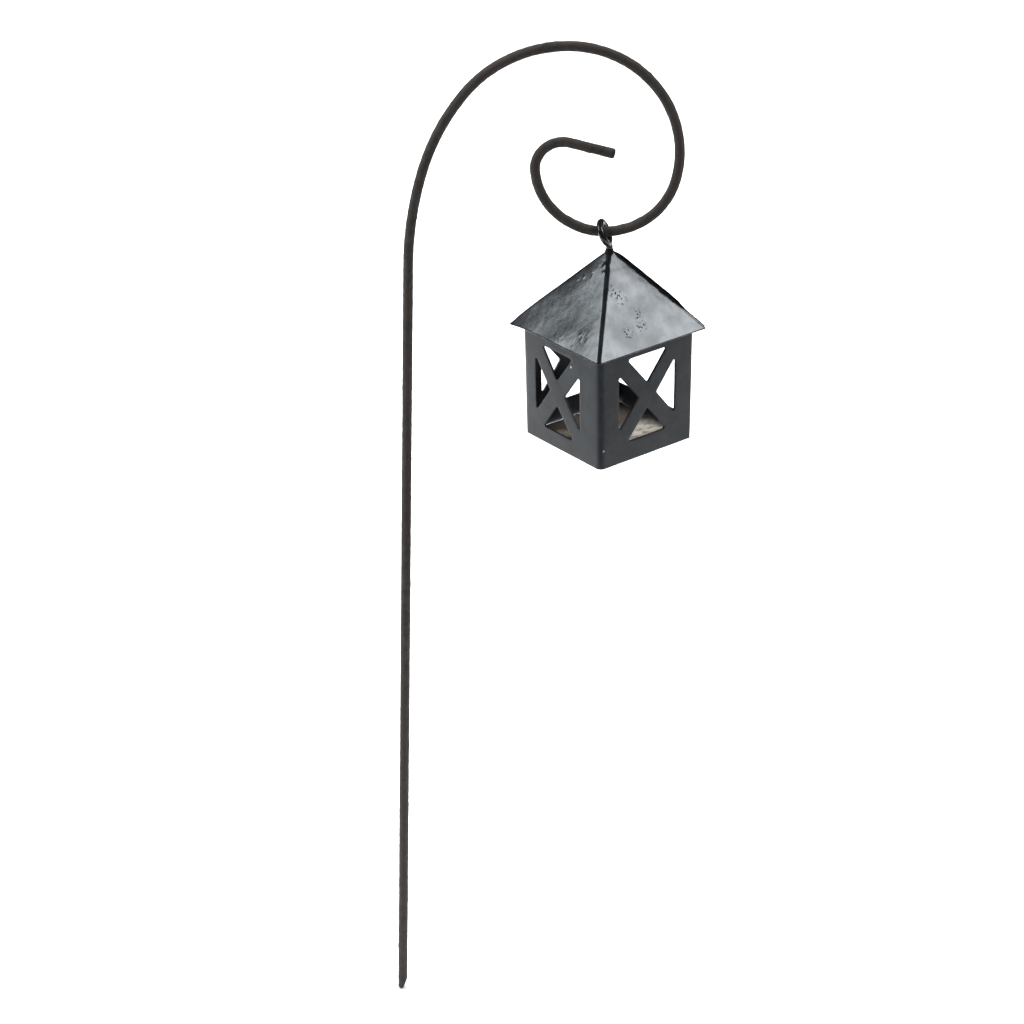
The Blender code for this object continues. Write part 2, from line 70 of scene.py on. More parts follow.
MM = 0.001
SAME_PLACE = 0.0000001
QUARTER = 0.5 * math.pi
WEAR_FULL_FOLD = 0.35  # the fold at which paint is rubbed off altogether
FIT_TOLERANCE = 0.0006  # how far a piece's box may differ from its CAD node's
ROUND_STEPS = 4  # steps round a rounded rim
OCTAVE_SCALE = 2.03
OCTAVE_SHIFT = Vector((17.1, 5.3, 9.7))
LUMP_REACH = 3.0  # radii beyond which a lump is flat

# Crook: a straight stake, then bends of (radius, sweep in degrees), then a straight free end.
ROD_RADIUS = 0.0010
STAKE_LENGTH = 0.1824
CROOK_BENDS = (
    (0.0780, 15.5),
    (0.0475, 22.0),
    (0.0267, 51.5),
    (0.0229, 104.0),
    (0.0146, 160.0),
    (0.0057, 110.5),
)
FREE_END_LENGTH = 0.0094
STAKE_LEAN = math.radians(2.26)
TIP_CUT_START = 0.0001
TIP_CUT_ANGLE = math.radians(68.0)
ROD_SIDES = 28
ROD_STEP = 0.0005
ROD_SCALE = 0.000045  # height of the rough scale on the wire
ROD_SCALE_FINE = 0.0011  # and the sizes of its features
ROD_SCALE_COARSE = 0.006
ROD_SKIN = 0.00006  # the scale's mean thickness
ROD_LUMP = 0.00013
ROD_LUMP_RADIUS = 0.0006
ROD_LUMP_COUNT = 120
ROD_LUMP_SEED = 4
ROD_PLACE_SEED = 11
ROD_END_ROUND = 0.0004

# Hanging eye.
EYE_WIRE_RADIUS = 0.00072
EYE_RING_RADIUS = 0.00222
EYE_LEAN = math.radians(-17.0)
EYE_YAW = math.radians(-12.0)
EYE_REST_GAP = 0.00024
EYE_STEPS = 96
EYE_SIDES = 32
SHANK_RADIUS = 0.00054
SHANK_DEPTH = 0.0034
SHANK_NECK_RADIUS = 0.00075
SHANK_SWELL_HEIGHTS = (-0.0004, 0.0001)  # the shank widens to its neck between these, from the roof's point
EYE_VOXEL = 0.00007
EYE_SMOOTHING = 6
EYE_TOP_SHIFT = 0.00018  # the ring's top tips this far to the left
EYE_WAVE = 0.00002
EYE_WAVE_SIZE = 0.0008
EYE_TOLERANCE = 0.0008

# Colours.
RUBBED_METAL = (0.10, 0.10, 0.105)
PALE_SPECK = (0.30, 0.31, 0.32)
PALE_CHIP = (0.40, 0.42, 0.43)
ROD_DARK = (0.026, 0.023, 0.021)
ROD_PALE = (0.047, 0.0425, 0.039)
ROD_WARM = (0.039, 0.031, 0.029)
ROD_GRIT = (0.075, 0.070, 0.064)
ROD_RUST = (0.060, 0.038, 0.024)
TIN_DULL = (0.60, 0.56, 0.49)
TIN_BRIGHT = (0.80, 0.76, 0.69)
TIN_STAIN = (0.30, 0.24, 0.18)
# Painted light at the floor's lit pools, then a dark tone used as scorching on the floor's underside and as
# painted shade over its upper side
TIN_PAINTED_LIGHT = (0.46, 0.40, 0.32)
SCORCH_AND_PAINTED_SHADE = (0.085, 0.068, 0.055)
SOLDER_DULL = (0.30, 0.30, 0.31)
SOLDER_BRIGHT = (0.46, 0.46, 0.47)
BLACK_SPRAY = (0.02, 0.022, 0.025)

# Lantern: its own frame has z = 0 at the eaves, below the pivot.
LANTERN_YAW = math.radians(-52.3)
PIVOT_ABOVE_EAVES = 0.0209
SHEET = 0.00045

# Roof.
EAVE_HALF = 0.0148
ROOF_HEIGHT = 0.0173
RIDGE_RADIUS = 0.0007
SHARPEST_RIDGE = 0.00008
ROOF_TOP_HALF = 0.0009
ROOF_INNER_TOP_HALF = 0.0017  # the inside stops lower down
ROOF_SHOULDER_HALF = 0.0013
NEARLY_ROUND = 0.98
ROOF_WALL_OFFSET = SHEET * math.hypot(ROOF_HEIGHT, EAVE_HALF) / ROOF_HEIGHT
FRONT_RIDGE_RADIUS = 0.0008
LEFT_CORNER_DROOP = 0.0006  # the left corner is bent down by about this much
LEFT_CORNER_PULL = Vector((-0.3, -0.3, -0.9))
LEFT_CORNER_RADIUS = 0.0013
LEFT_CORNER_BLEND = 0.0014  # it is rounder than the ridge only this near the eave
LEFT_CORNER_REACH = 0.0060
ROOF_FACE_COLUMNS = 120
ROOF_RIDGE_COLUMNS = 10
ROOF_ROWS = 110
ROOF_EDGE = 0.00012
ROOF_WAVES = ((0.009, 0.00006), (0.0025, 0.000018))  # (size, height)
ROOF_FADE = 0.004  # the waves die out this far below the point
ROOF_END_GAP = 0.00005  # half the gap between the sheet's ends
APEX_SHIFT = 0.00038  # the roof leans this far to the right at its point
ROOF_BOW = 0.00022  # how far each face bellies out between its ridges
ROOF_LUMP_COUNT = 70
ROOF_LUMP_RADIUS = 0.00022
ROOF_LUMP = 0.00004
ROOF_LUMP_SEED = 23
NIB_SEED = 5
NIB_SPREAD = 0.0009
NIBS_PER_CLUSTER = 5
NIB_BOOST = 1.4
# Where paint nibs crowd together: (face, across, up) in millimetres on the two faces at the front ridge.
NIB_CLUSTERS = (
    ("right", -3.5, 9.9),
    ("right", -2.8, 8.7),
    ("right", -0.4, 5.8),
    ("right", -0.7, 3.8),
    ("right", -4.7, 3.4),
    ("left", 6.8, 2.1),
    ("left", 6.2, 3.5),
    ("left", 0.8, 1.0),
    ("left", 0.1, 13.8),
    ("left", -2.8, 11.7),
)
NIB_REACH = 1.6  # in millimetres
# Runs of thick paint on the front ridge near the point, in millimetres in the lantern's own frame.
RIDGE_RUNS = ((1.7, -2.6, 14.5), (2.6, -3.4, 13.6), (2.2, -2.2, 14.9))
RIDGE_RUN_RADIUS = 0.00060
RIDGE_RUN_HEIGHT = 0.00016
# Chips in the walls' paint, and the pools of painted light on the floor, all in millimetres there too.
WALL_CHIPS = ((3.6, -12.9, -4.7), (12.7, -11.6, -21.1))
CHIP_REACH = 0.34
# Centres of two pools of painted light on the floor's upper side, and how far each reaches; the floor around
# them is painted shade
FLOOR_LIGHT_POOLS = ((6.6, 6.4, -24.8), (-5.8, -7.8, -24.8))
FLOOR_LIGHT_POOL_REACHES = (8.5, 2.6)
SEAM_BEAD_STEPS = 220
SEAM_BEAD_AROUND = 30
SEAM_BEAD_LEG = 0.00110
SEAM_BEAD_BACK = 0.0016  # how far it laps the face behind
SEAM_CREST = (0.00080, 0.00062)  # the crest, outwards from the ridge's corner past each face
SEAM_BEAD_HIGH_HALF = 0.0006
SEAM_BEAD_LOW_HALF = 0.0144
SEAM_BEAD_THICK_END = 0.0112  # below this the bead thins to a smear
SEAM_BEAD_THINNING = (0.0022, 0.0006)  # over this much above it and below it
SEAM_BEAD_SMEAR = 0.2  # and keeps this share of its size
SEAM_BEAD_NARROWEST = 0.3  # and this share of its width
SEAM_BEAD_RAGGED = (0.20, 16.0)  # unevenness of its edge, and how often along it
SEAM_BEAD_LUMPY = (0.10, 9.0)  # and of its crest
SEAM_BEAD_TOLERANCE = 0.0026
APEX_SOLDER_RADIUS = 0.00125
APEX_SOLDER_CLIMB = 0.00105
APEX_SOLDER_GAP = 0.00003  # between it and the shank it stands round
APEX_SOLDER_DROP = 0.00012  # its rim ends this far below the roof's skin
APEX_SOLDER_DEPTH = 0.0005
APEX_SOLDER_RAGGED = 0.16  # how unevenly it spreads
APEX_SOLDER_LIFT = 0.00010
APEX_SOLDER_LUMP = 0.00005
APEX_SOLDER_LUMP_SIZE = 0.0007
APEX_SOLDER_RINGS = 26
APEX_SOLDER_SIDES = 56
APEX_SOLDER_TOLERANCE = 0.001
ROOF_NOTCH = 0.0011  # the first face's corner at the seam is pulled in and up by about this much
ROOF_NOTCH_PULL = Vector((-0.7, -0.7, 0.9))
ROOF_NOTCH_REACH = 0.0030

# Walls.
WALL_HALF_TOP = 0.01275
WALL_HALF_BOTTOM = 0.01255
WALL_TOP = 0.0015
WALL_BOTTOM = -0.0253
BEND_RADIUS = 0.0012
BEND_COLUMNS = 8
SEAM_INSET = 0.0004
SEAM_CLEARANCE = 0.0001
WINDOW_HALF_WIDTH = 0.00775
WINDOW_HALF_HEIGHT = 0.00935
WINDOW_CENTRE = -0.01145
BAR_WIDTH = 0.0036
# How far each patterned wall's X sits off its middle and off its height, and how much narrower its sides are.
WINDOW_SHIFTS = (0.0, 0.0010, -0.0003)
WINDOW_LIFTS = (0.0, -0.0008, 0.0)
WINDOW_TRIMS = (0.0, 0.0004, 0.0)
CORNER_ROUND = 0.0004
CORNER_POINTS = 5
DOOR_WALL = 3
DOOR_SILL = -0.0206
DOOR_HEAD = -0.0030
DOOR_BACK_STRIP = 0.0011
DOOR_SEAM_STRIP = 0.0019
WALL_GRID = 0.00055
WALL_EDGE_STEP = 0.0004
WALL_BULGE = 0.00030
WALL_BULGE_CENTRE = -0.012
WALL_BULGE_HALF = 0.0135
WALL_WAVE = 0.00007
WALL_WAVE_SIZE = 0.008
CUT_EDGE_ANGLE = math.radians(60.0)
CUT_EDGE_ROUND = 0.00006

# Floor and solder.
FLOOR_GAP = 0.00015
FLOOR_SLIT = 0.00068
FLOOR_CLIP = 0.0013
FLOOR_LIFT = 0.00005
FLOOR_TRIM = 0.00004
FLOOR_EDGE_WAVE = 0.00005
FLOOR_EDGE_WAVE_SIZE = 0.002
FLOOR_WAVE = 0.00006
FLOOR_WAVE_SIZE = 0.007
FILLET_LOW = WALL_BOTTOM + 0.0030
FILLET_HIGH = -0.0010
FILLET_SIZE = 0.0012
FILLET_SAG = 0.42
FILLET_RAGGED = 0.25
FILLET_RAGGED_SIZE = 0.003
FILLET_STEPS = 90
FILLET_ACROSS = 12
SOLDER_GAP = 0.00004
SOLDER_LUMP = 0.00005
SOLDER_LUMP_SIZE = 0.0009
BLOB_CUTS = 9
BLOB_SOFTENING = 10
BLOB_SWELL = 0.00007
BLOB_LUMP = 0.00006

# Stage. Radiance is in the renderer's units; softboxes and kicker are placed from the lantern's middle.
WHITE = (1.0, 1.0, 1.0)
GROUND_SIZE = (0.62, 0.82)
GROUND_PLACE = (0.05, 0.50, -0.0003)
BACKDROP_RADIUS = 6.0
LANTERN_MIDDLE = 0.03  # below the pivot
SOFTBOX_DISTANCE = 0.9
SOFTBOXES = (
    ("right_softbox", (0.772, -0.107, 0.625), 0.38, 12.5, WHITE),
    ("left_softbox", (-0.83, -0.04, 0.56), 0.54, 10.5, (0.97, 1.0, 1.0)),
)
WASH_PLACE = (0.05, 0.70, 1.0)  # in the shared frame
WASH_SIZE = (1.8, 1.2)
WASH_RADIANCE = 4.15
KICKER_PLACE = (-0.30, 0.32, 0.15)
KICKER_SIZE = (0.25, 0.25)
KICKER_RADIANCE = 7.0
AIR_RADIANCE = 0.10

# Camera.
CAMERA_PLACE = (0.02771, -0.55675, 0.40858)
CAMERA_PITCH = math.radians(27.036)
CAMERA_ROLL = math.radians(-1.042)
CAMERA_LENS = 101.9

ROOF_LEAN = Vector((math.cos(LANTERN_YAW), -math.sin(LANTERN_YAW), 0.0)) * (APEX_SHIFT / ROOF_HEIGHT)
PIVOT = Vector(frame["joints"][0]["pos_m"])
EAVES = PIVOT - Vector((0.0, 0.0, PIVOT_ABOVE_EAVES))
LANTERN = Matrix.Translation(EAVES) @ Matrix.Rotation(LANTERN_YAW, 4, "Z")


# --- Meshes --------------------------------------------------------------------------------------


def make_piece(name, builder, material, body, nodes, sharp=50.0, tolerance=FIT_TOLERANCE):
    """Turns a bmesh into a piece that stands for its CAD nodes, and checks that it fills their box."""
    bmesh.ops.recalc_face_normals(builder, faces=builder.faces)
    keep_inside(builder)
    mesh = bpy.data.meshes.new(name)
    builder.to_mesh(mesh)
    builder.free()
    mesh.materials.append(material)
    mesh.shade_smooth()
    mesh.set_sharp_from_angle(angle=math.radians(sharp))
    store_wear(mesh)
    piece = bpy.data.objects.new(name, mesh)
    bpy.context.scene.collection.objects.link(piece)
    check_fit(piece, nodes, tolerance)
    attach(piece, body)
    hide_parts(*nodes)
    return piece


def keep_inside(builder):
    """Presses any lump that would stand outside the object's box back to it."""
    low, high = cad_box
    for vertex in builder.verts:
        for axis in range(3):
            vertex.co[axis] = min(max(vertex.co[axis], low[axis]), high[axis])


def store_wear(mesh):
    """Stores how strongly the surface folds outwards at each point, where paint rubs off first."""
    count = len(mesh.vertices)
    places = np.empty(count * 3)
    normals = np.empty(count * 3)
    pairs = np.empty(len(mesh.edges) * 2, dtype=np.int64)
    mesh.vertices.foreach_get("co", places)
    mesh.vertices.foreach_get("normal", normals)
    mesh.edges.foreach_get("vertices", pairs)
    places, normals, pairs = places.reshape(-1, 3), normals.reshape(-1, 3), pairs.reshape(-1, 2)
    total = np.zeros(count)
    uses = np.zeros(count)
    for here, there in ((0, 1), (1, 0)):
        step = places[pairs[:, there]] - places[pairs[:, here]]
        length = np.maximum(np.linalg.norm(step, axis=1), SAME_PLACE)
        drop = -np.einsum("ij,ij->i", step, normals[pairs[:, here]]) / length
        np.add.at(total, pairs[:, here], drop)
        np.add.at(uses, pairs[:, here], 1.0)
    wear = np.clip(total / np.maximum(uses, 1.0) / WEAR_FULL_FOLD, 0.0, 1.0)
    mesh.attributes.new("wear", "FLOAT", "POINT").data.foreach_set("value", wear)


def check_fit(piece, nodes, tolerance):
    places = np.array([vertex.co for vertex in piece.data.vertices])
    lows, highs = zip(*(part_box(node) for node in nodes))
    low = np.min(np.array(lows), axis=0)
    high = np.max(np.array(highs), axis=0)
    worst = max(np.abs(places.min(axis=0) - low).max(), np.abs(places.max(axis=0) - high).max())
    if worst > tolerance:
        raise ValueError(f"{piece.name} differs from its CAD box by {worst / MM:.2f} mm")


def skin_sections(builder, sections, closed_section=True):
    """Joins equal rows of points with quads, and returns their vertices."""
    rows = [[builder.verts.new(point) for point in section] for section in sections]
    count = len(rows[0])
    last = count if closed_section else count - 1
    for low, high in zip(rows, rows[1:]):
        for i in range(last):
            j = (i + 1) % count
            builder.faces.new((low[i], low[j], high[j], high[i]))
    return rows


def cap_row(builder, row, inset=0.9):
    """Closes a round row with a slightly domed fan."""
    centre = sum((vertex.co for vertex in row), Vector()) / len(row)
    rim = [builder.verts.new(centre + (vertex.co - centre) * inset) for vertex in row]
    hub = builder.verts.new(centre)
    count = len(row)
    for i in range(count):
        j = (i + 1) % count
        builder.faces.new((row[i], row[j], rim[j], rim[i]))
        builder.faces.new((rim[i], rim[j], hub))


def fractal(point, size, octaves=3):
    """Smooth noise between about -1 and 1, with features of this size in metres."""
    place = point / size
    total, weight = 0.0, 1.0
    for _ in range(octaves):
        total += weight * noise.noise(place)
        place = place * OCTAVE_SCALE + OCTAVE_SHIFT
        weight *= 0.5
    return total


class Lumps:
    """Small raised spots scattered through a box, for drips, nibs and scale."""

    def __init__(self, count, low, high, radius, height, seed):
        random = np.random.default_rng(seed)
        self.places = random.uniform(low, high, (count, 3))
        self.radii = radius * random.uniform(0.5, 1.5, count)
        heights = height * random.uniform(0.3, 1.0, count)
        self.heights = heights * random.choice((-0.5, 1.0), count, p=(0.3, 0.7))

    def rise(self, point):
        gaps = self.places - np.array(point)
        reach = np.einsum("ij,ij->i", gaps, gaps) / self.radii**2
        near = reach < LUMP_REACH**2
        if not near.any():
            return 0.0
        return float((self.heights[near] * np.exp(-reach[near])).sum())


# --- Materials -----------------------------------------------------------------------------------


class Finish:
    """A Principled material built up by small steps. Texture sizes are in features per millimetre."""

    def __init__(self, name):
        self.material = bpy.data.materials.new(name)
        self.material.use_nodes = True
        self.nodes = self.material.node_tree.nodes
        self.shader = self.nodes["Principled BSDF"]
        self.normal = None
        place = self.add("TexCoord").outputs["Object"]
        self.place = self.add("Mapping", Vector=place, Scale=(1.0 / MM,) * 3).outputs["Vector"]

    def feed(self, socket, value):
        """Gives a socket a constant or another socket's output."""
        if isinstance(value, bpy.types.NodeSocket):
            self.material.node_tree.links.new(value, socket)
        else:
            socket.default_value = value

    def add(self, kind, **inputs):
        node = self.nodes.new("ShaderNode" + kind)
        for name, value in inputs.items():
            self.feed(node.inputs[name.replace("_", " ")], value)
        return node

    def set(self, **inputs):
        """Sets the shader's own sockets."""
        for name, value in inputs.items():
            self.feed(self.shader.inputs[name.replace("_", " ")], value)

    def combine(self, kind, operation, first, second):
        node = self.nodes.new("ShaderNode" + kind)
        node.operation = operation
        self.feed(node.inputs[0], first)
        self.feed(node.inputs[1], second)
        return node.outputs["Value"]

    def multiply(self, first, second):
        return self.combine("Math", "MULTIPLY", first, second)

    def noise(self, scale, detail=3.0, roughness=0.55, stretch=None):
        place = self.place
        if stretch is not None:
            turn = (0.0, 0.0, -LANTERN_YAW)
            place = self.add("Mapping", Vector=place, Rotation=turn, Scale=stretch).outputs["Vector"]
        texture = self.add("TexNoise", Vector=place, Scale=scale, Detail=detail, Roughness=roughness)
        return texture.outputs["Fac"]

    def spots(self, scale, radius, share):
        """A mask of small round spots in some of the cells of a loose grid."""
        cells = self.add("TexVoronoi", Vector=self.place, Scale=scale)
        near = self.ramp(cells.outputs["Distance"], radius * scale, radius * scale * 0.5)
        split = self.add("SeparateColor", Color=cells.outputs["Color"])
        return self.multiply(near, self.ramp(split.outputs["Red"], share, share - 0.02))

    def wear(self):
        attribute = self.add("Attribute")
        attribute.attribute_name = "wear"
        rubbed = self.ramp(self.noise(0.8, 4.0), 0.50, 0.62)
        return self.multiply(self.ramp(attribute.outputs["Fac"], 0.25, 0.8), rubbed)

    def near(self, places, reach):
        """A mask that fades from 1 to 0 around each of some places, all in millimetres."""
        total = None
        for place in places:
            gap = self.combine("VectorMath", "DISTANCE", self.place, place)
            mask = self.ramp(gap, reach, 0.3 * reach)
            total = mask if total is None else self.combine("Math", "MAXIMUM", total, mask)
        return total

    def ramp(self, value, zero_at, one_at):
        """Maps a value linearly so that it is 0 at one place and 1 at another, and no further."""
        return self.add("MapRange", Value=value, From_Min=zero_at, From_Max=one_at).outputs["Result"]

    def between(self, factor, low, high):
        return self.add("MapRange", Value=factor, To_Min=low, To_Max=high).outputs["Result"]

    def mix(self, factor, first, second):
        """Mixes two colours, each a constant or another socket."""
        node = self.nodes.new("ShaderNodeMix")
        node.data_type = "RGBA"
        self.feed(node.inputs["Factor"], factor)
        for name, value in (("A", first), ("B", second)):
            self.feed(node.inputs[name], (*value, 1.0) if isinstance(value, tuple) else value)
        return node.outputs["Result"]

    def bump(self, height, distance):
        """Adds relief this many metres high."""
        node = self.add("Bump", Height=height, Distance=distance, Strength=1.0)
        if self.normal is not None:
            self.feed(node.inputs["Normal"], self.normal)
        self.normal = node.outputs["Normal"]

    def done(self):
        self.set(Normal=self.normal)
        return self.material


def make_enamel(name, dark, light, smooth, rough, peel, specular, chips=()):
    """Black sprayed enamel: soft orange peel, a little dust, and rubbed edges. Peel is in metres."""
    finish = Finish(name)
    dust = finish.ramp(finish.noise(0.22, 4.0), 0.42, 0.66)
    colour = finish.mix(dust, dark, light)
    colour = finish.mix(finish.wear(), colour, RUBBED_METAL)
    colour = finish.mix(finish.spots(0.12, 0.16, 0.10), colour, PALE_SPECK)
    if chips:
        colour = finish.mix(finish.near(chips, CHIP_REACH), colour, PALE_CHIP)
    clouds = finish.noise(0.5, 4.0, stretch=(1.0, 1.0, 0.35))
    finish.set(Base_Color=colour, Roughness=finish.between(clouds, smooth, rough), IOR=1.5)
    finish.set(Specular_Tint=(0.91, 0.98, 1.03, 1.0), Specular_IOR_Level=specular)
    finish.bump(finish.noise(0.28, 2.0), 1.7 * peel)
    finish.bump(finish.noise(0.9, 2.0), peel)
    finish.bump(finish.noise(3.0, 2.0), 0.12 * peel)
    return finish


def make_roof_enamel():
    """The roof's glossier coat, pitted where nibs of dry paint crowd together."""
    dark, light = (0.004, 0.005, 0.006), (0.010, 0.011, 0.013)
    finish = make_enamel("roof_enamel", dark, light, 0.16, 0.30, 0.00002, 0.5)
    pits = finish.spots(2.4, 0.19, 0.6)
    crowded = finish.near([tuple(place / MM for place in nib_place(nib)) for nib in NIB_CLUSTERS], NIB_REACH)
    pitted = finish.multiply(pits, crowded)
    clouds = finish.between(finish.ramp(finish.noise(0.2, 4.0), 0.38, 0.62), 0.37, 0.54)
    finish.set(Specular_IOR_Level=finish.between(pitted, clouds, 0.06))
    finish.bump(pitted, -0.00004)
    finish.bump(finish.multiply(finish.noise(1.5, 3.0), crowded), 0.00002)
    return finish.done()


def make_wall_enamel():
    dark, light, chips = (0.006, 0.007, 0.009), (0.012, 0.014, 0.017), in_frame(WALL_CHIPS)
    finish = make_enamel("wall_enamel", dark, light, 0.34, 0.46, 0.00002, 0.27, chips)
    finish.bump(finish.noise(3.4, 3.0), 0.00001)
    return finish.done()


def make_seam_enamel():
    dark, light = (0.003, 0.003, 0.004), (0.006, 0.006, 0.007)
    return make_enamel("seam_enamel", dark, light, 0.18, 0.34, 0.00003, 0.45).done()


def in_frame(places):
    """Places in millimetres in the lantern's own frame, as places in millimetres in the shared frame."""
    return [tuple((LANTERN @ (Vector(place) * MM)) / MM) for place in places]


def nib_place(nib):
    """A nib cluster's place in the frame."""
    face, across, up = nib
    half = EAVE_HALF * (1.0 - up * MM / ROOF_HEIGHT)
    local = (half, across * MM, up * MM) if face == "right" else (across * MM, -half, up * MM)
    return LANTERN @ Vector(local)


def make_rod_finish():
    """Blackened wire with a dry, rough scale."""
    finish = Finish("blackened_rod")
    clouds = finish.noise(0.5, 5.0, 0.6)
    grain = finish.noise(3.2, 5.0, 0.7)
    colour = finish.mix(finish.ramp(clouds, 0.35, 0.65), ROD_DARK, ROD_PALE)
    colour = finish.mix(finish.ramp(finish.noise(0.07, 2.0), 0.45, 0.60), colour, ROD_WARM)
    colour = finish.mix(finish.ramp(grain, 0.60, 0.78), colour, ROD_GRIT)
    freckles = finish.multiply(finish.ramp(finish.noise(0.8, 4.0), 0.58, 0.70), finish.ramp(grain, 0.45, 0.6))
    finish.set(Base_Color=finish.mix(freckles, colour, ROD_RUST), Roughness=finish.between(clouds, 0.62, 0.9))
    finish.set(Specular_IOR_Level=0.3, IOR=1.45)
    finish.bump(grain, 0.00009)
    finish.bump(finish.noise(1.1, 3.0), 0.00010)
    return finish.done()


def make_bare_sheet(name, upper):
    """Unpainted sheet, rolled and stained; its underside is scorched by soldering, its upper side is painted
    dark with shade save for two ragged pools of painted light.
    """
    finish = Finish(name)
    grain = finish.noise(0.5, 4.0, 0.6, stretch=(0.25, 7.0, 1.0))
    stain = finish.noise(0.16, 4.0, 0.6)
    colour = finish.mix(finish.ramp(grain, 0.3, 0.7), TIN_DULL, TIN_BRIGHT)
    colour = finish.mix(finish.ramp(stain, 0.5, 0.72), colour, TIN_STAIN)
    if upper:
        # Painted light: two ragged pools where light through the windows and doorway falls, the smaller one
        # brighter; the rest of the upper side is painted shade in the dark tone
        places = zip(in_frame(FLOOR_LIGHT_POOLS), FLOOR_LIGHT_POOL_REACHES)
        wide, narrow = (finish.near([place], reach) for place, reach in places)
        ragged = finish.between(finish.ramp(finish.noise(0.42, 5.0, 0.6), 0.35, 0.65), 0.3, 1.6)
        colour = finish.mix(finish.multiply(wide, ragged), SCORCH_AND_PAINTED_SHADE, colour)
        colour = finish.mix(finish.multiply(narrow, ragged), colour, TIN_PAINTED_LIGHT)
    else:
        colour = finish.mix(finish.ramp(finish.noise(0.13, 4.0), 0.50, 0.80), SCORCH_AND_PAINTED_SHADE, colour)
    finish.set(Base_Color=colour, Roughness=finish.between(stain, 0.38, 0.66), Metallic=0.25)
    finish.bump(grain, 0.00002)
    finish.bump(finish.noise(1.2, 3.0), 0.00003)
    return finish.done()


def make_solder_finish():
    """Dull soft solder, partly caught by the black spray."""
    finish = Finish("soft_solder")
    clouds = finish.noise(0.9, 4.0)
    spray = finish.ramp(finish.noise(0.45, 4.0), 0.44, 0.56)
    colour = finish.mix(finish.ramp(clouds, 0.35, 0.65), SOLDER_DULL, SOLDER_BRIGHT)
    finish.set(Base_Color=finish.mix(spray, colour, BLACK_SPRAY), Metallic=finish.between(spray, 0.85, 0.0))
    finish.set(Roughness=finish.between(clouds, 0.35, 0.6))
    finish.bump(clouds, 0.00006)
    return finish.done()


# --- Crook ---------------------------------------------------------------------------------------


def crook_path():
    """Points and headings every small step along the wire, in the crook's own XZ plane."""
    x, z, heading = 0.0, 0.0, QUARTER
    path = []
    stretches = [(None, STAKE_LENGTH)]
    stretches += [(radius, radius * math.radians(sweep)) for radius, sweep in CROOK_BENDS]
    stretches.append((None, FREE_END_LENGTH))
    for radius, length in stretches:
        steps = max(2, round(length / ROD_STEP))
        start = (x, z, heading)
        for step in range(steps + 1):
            along = length * step / steps
            if radius is None:
                x = start[0] + along * math.cos(heading)
                z = start[1] + along * math.sin(heading)
            else:
                heading = start[2] - along / radius
                x = start[0] + radius * (math.sin(start[2]) - math.sin(heading))
                z = start[1] + radius * (math.cos(heading) - math.cos(start[2]))
            if step > 0 or not path:
                path.append((x, z, heading))
    return path


def round_end(sections, forward):
    """Rounds off the rim of the last section, within the rod's length."""
    last = sections.pop()
    centre = sum(last, Vector()) / len(last)
    for step in range(ROUND_STEPS + 1):
        angle = QUARTER * step / ROUND_STEPS
        shrink = 1.0 - ROD_END_ROUND * (1.0 - math.cos(angle)) / ROD_RADIUS
        back = ROD_END_ROUND * (1.0 - math.sin(angle))
        sections.append([centre + (point - centre) * shrink - forward * back for point in last])


def around_rod(heading, angle):
    """The way out of the rod at this angle round it, where it runs along this heading."""
    share = math.cos(angle)
    return Vector((math.sin(heading) * share, math.sin(angle), -math.cos(heading) * share))


def rod_lumps(path):
    """Small lumps of scale scattered over the rod's surface."""
    box_low, box_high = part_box("crook_stake")
    lumps = Lumps(ROD_LUMP_COUNT, tuple(box_low), tuple(box_high), ROD_LUMP_RADIUS, ROD_LUMP, ROD_LUMP_SEED)
    random = np.random.default_rng(ROD_PLACE_SEED)
    for index, spot in enumerate(random.choice(len(path), ROD_LUMP_COUNT)):
        x, z, heading = path[spot]
        outward = around_rod(heading, random.uniform(0.0, math.tau))
        lumps.places[index] = Vector((x, 0.0, z)) + ROD_RADIUS * outward
    return lumps


def build_crook(material):
    builder = bmesh.new()
    path = crook_path()
    lumps = rod_lumps(path)
    sections = []
    for x, z, heading in path:
        ring = []
        for i in range(ROD_SIDES):
            outward = around_rod(heading, math.tau * i / ROD_SIDES)
            skin = Vector((x, 0.0, z)) + ROD_RADIUS * outward
            coarse = 0.5 * ROD_SCALE * fractal(skin, ROD_SCALE_COARSE)
            rise = ROD_SCALE * fractal(skin, ROD_SCALE_FINE) + coarse + lumps.rise(skin)
            ring.append(skin + outward * (rise + ROD_SKIN))
        sections.append(ring)
    round_end(sections, Vector((math.cos(heading), 0.0, math.sin(heading))))
    rows = skin_sections(builder, sections)
    cap_row(builder, rows[-1])
    builder.faces.new(rows[0])
    cut = bmesh.ops.bisect_plane(
        builder,
        geom=builder.verts[:] + builder.edges[:] + builder.faces[:],
        plane_co=(TIP_CUT_START, 0.0, 0.0),
        plane_no=(math.sin(TIP_CUT_ANGLE), 0.0, -math.cos(TIP_CUT_ANGLE)),
        clear_outer=True,
        dist=SAME_PLACE,
    )
    rim = [item for item in cut["geom_cut"] if isinstance(item, bmesh.types.BMEdge)]
    bmesh.ops.edgeloop_fill(builder, edges=rim)
    bmesh.ops.rotate(builder, verts=builder.verts, matrix=Matrix.Rotation(STAKE_LEAN, 3, "Y"))
    make_piece("crook_rod", builder, material, "crook", ["crook_stake"], sharp=40.0)


# --- Hanging eye and its solder ------------------------------------------------------------------


def eye_point(around, section):
    reach = EYE_RING_RADIUS + EYE_WIRE_RADIUS * math.cos(section)
    side = EYE_WIRE_RADIUS * math.sin(section)
    point = Vector((side, reach * math.sin(around), -reach * math.cos(around)))
    return Matrix.Rotation(EYE_LEAN, 3, "Y") @ Matrix.Rotation(EYE_YAW, 3, "Z") @ point


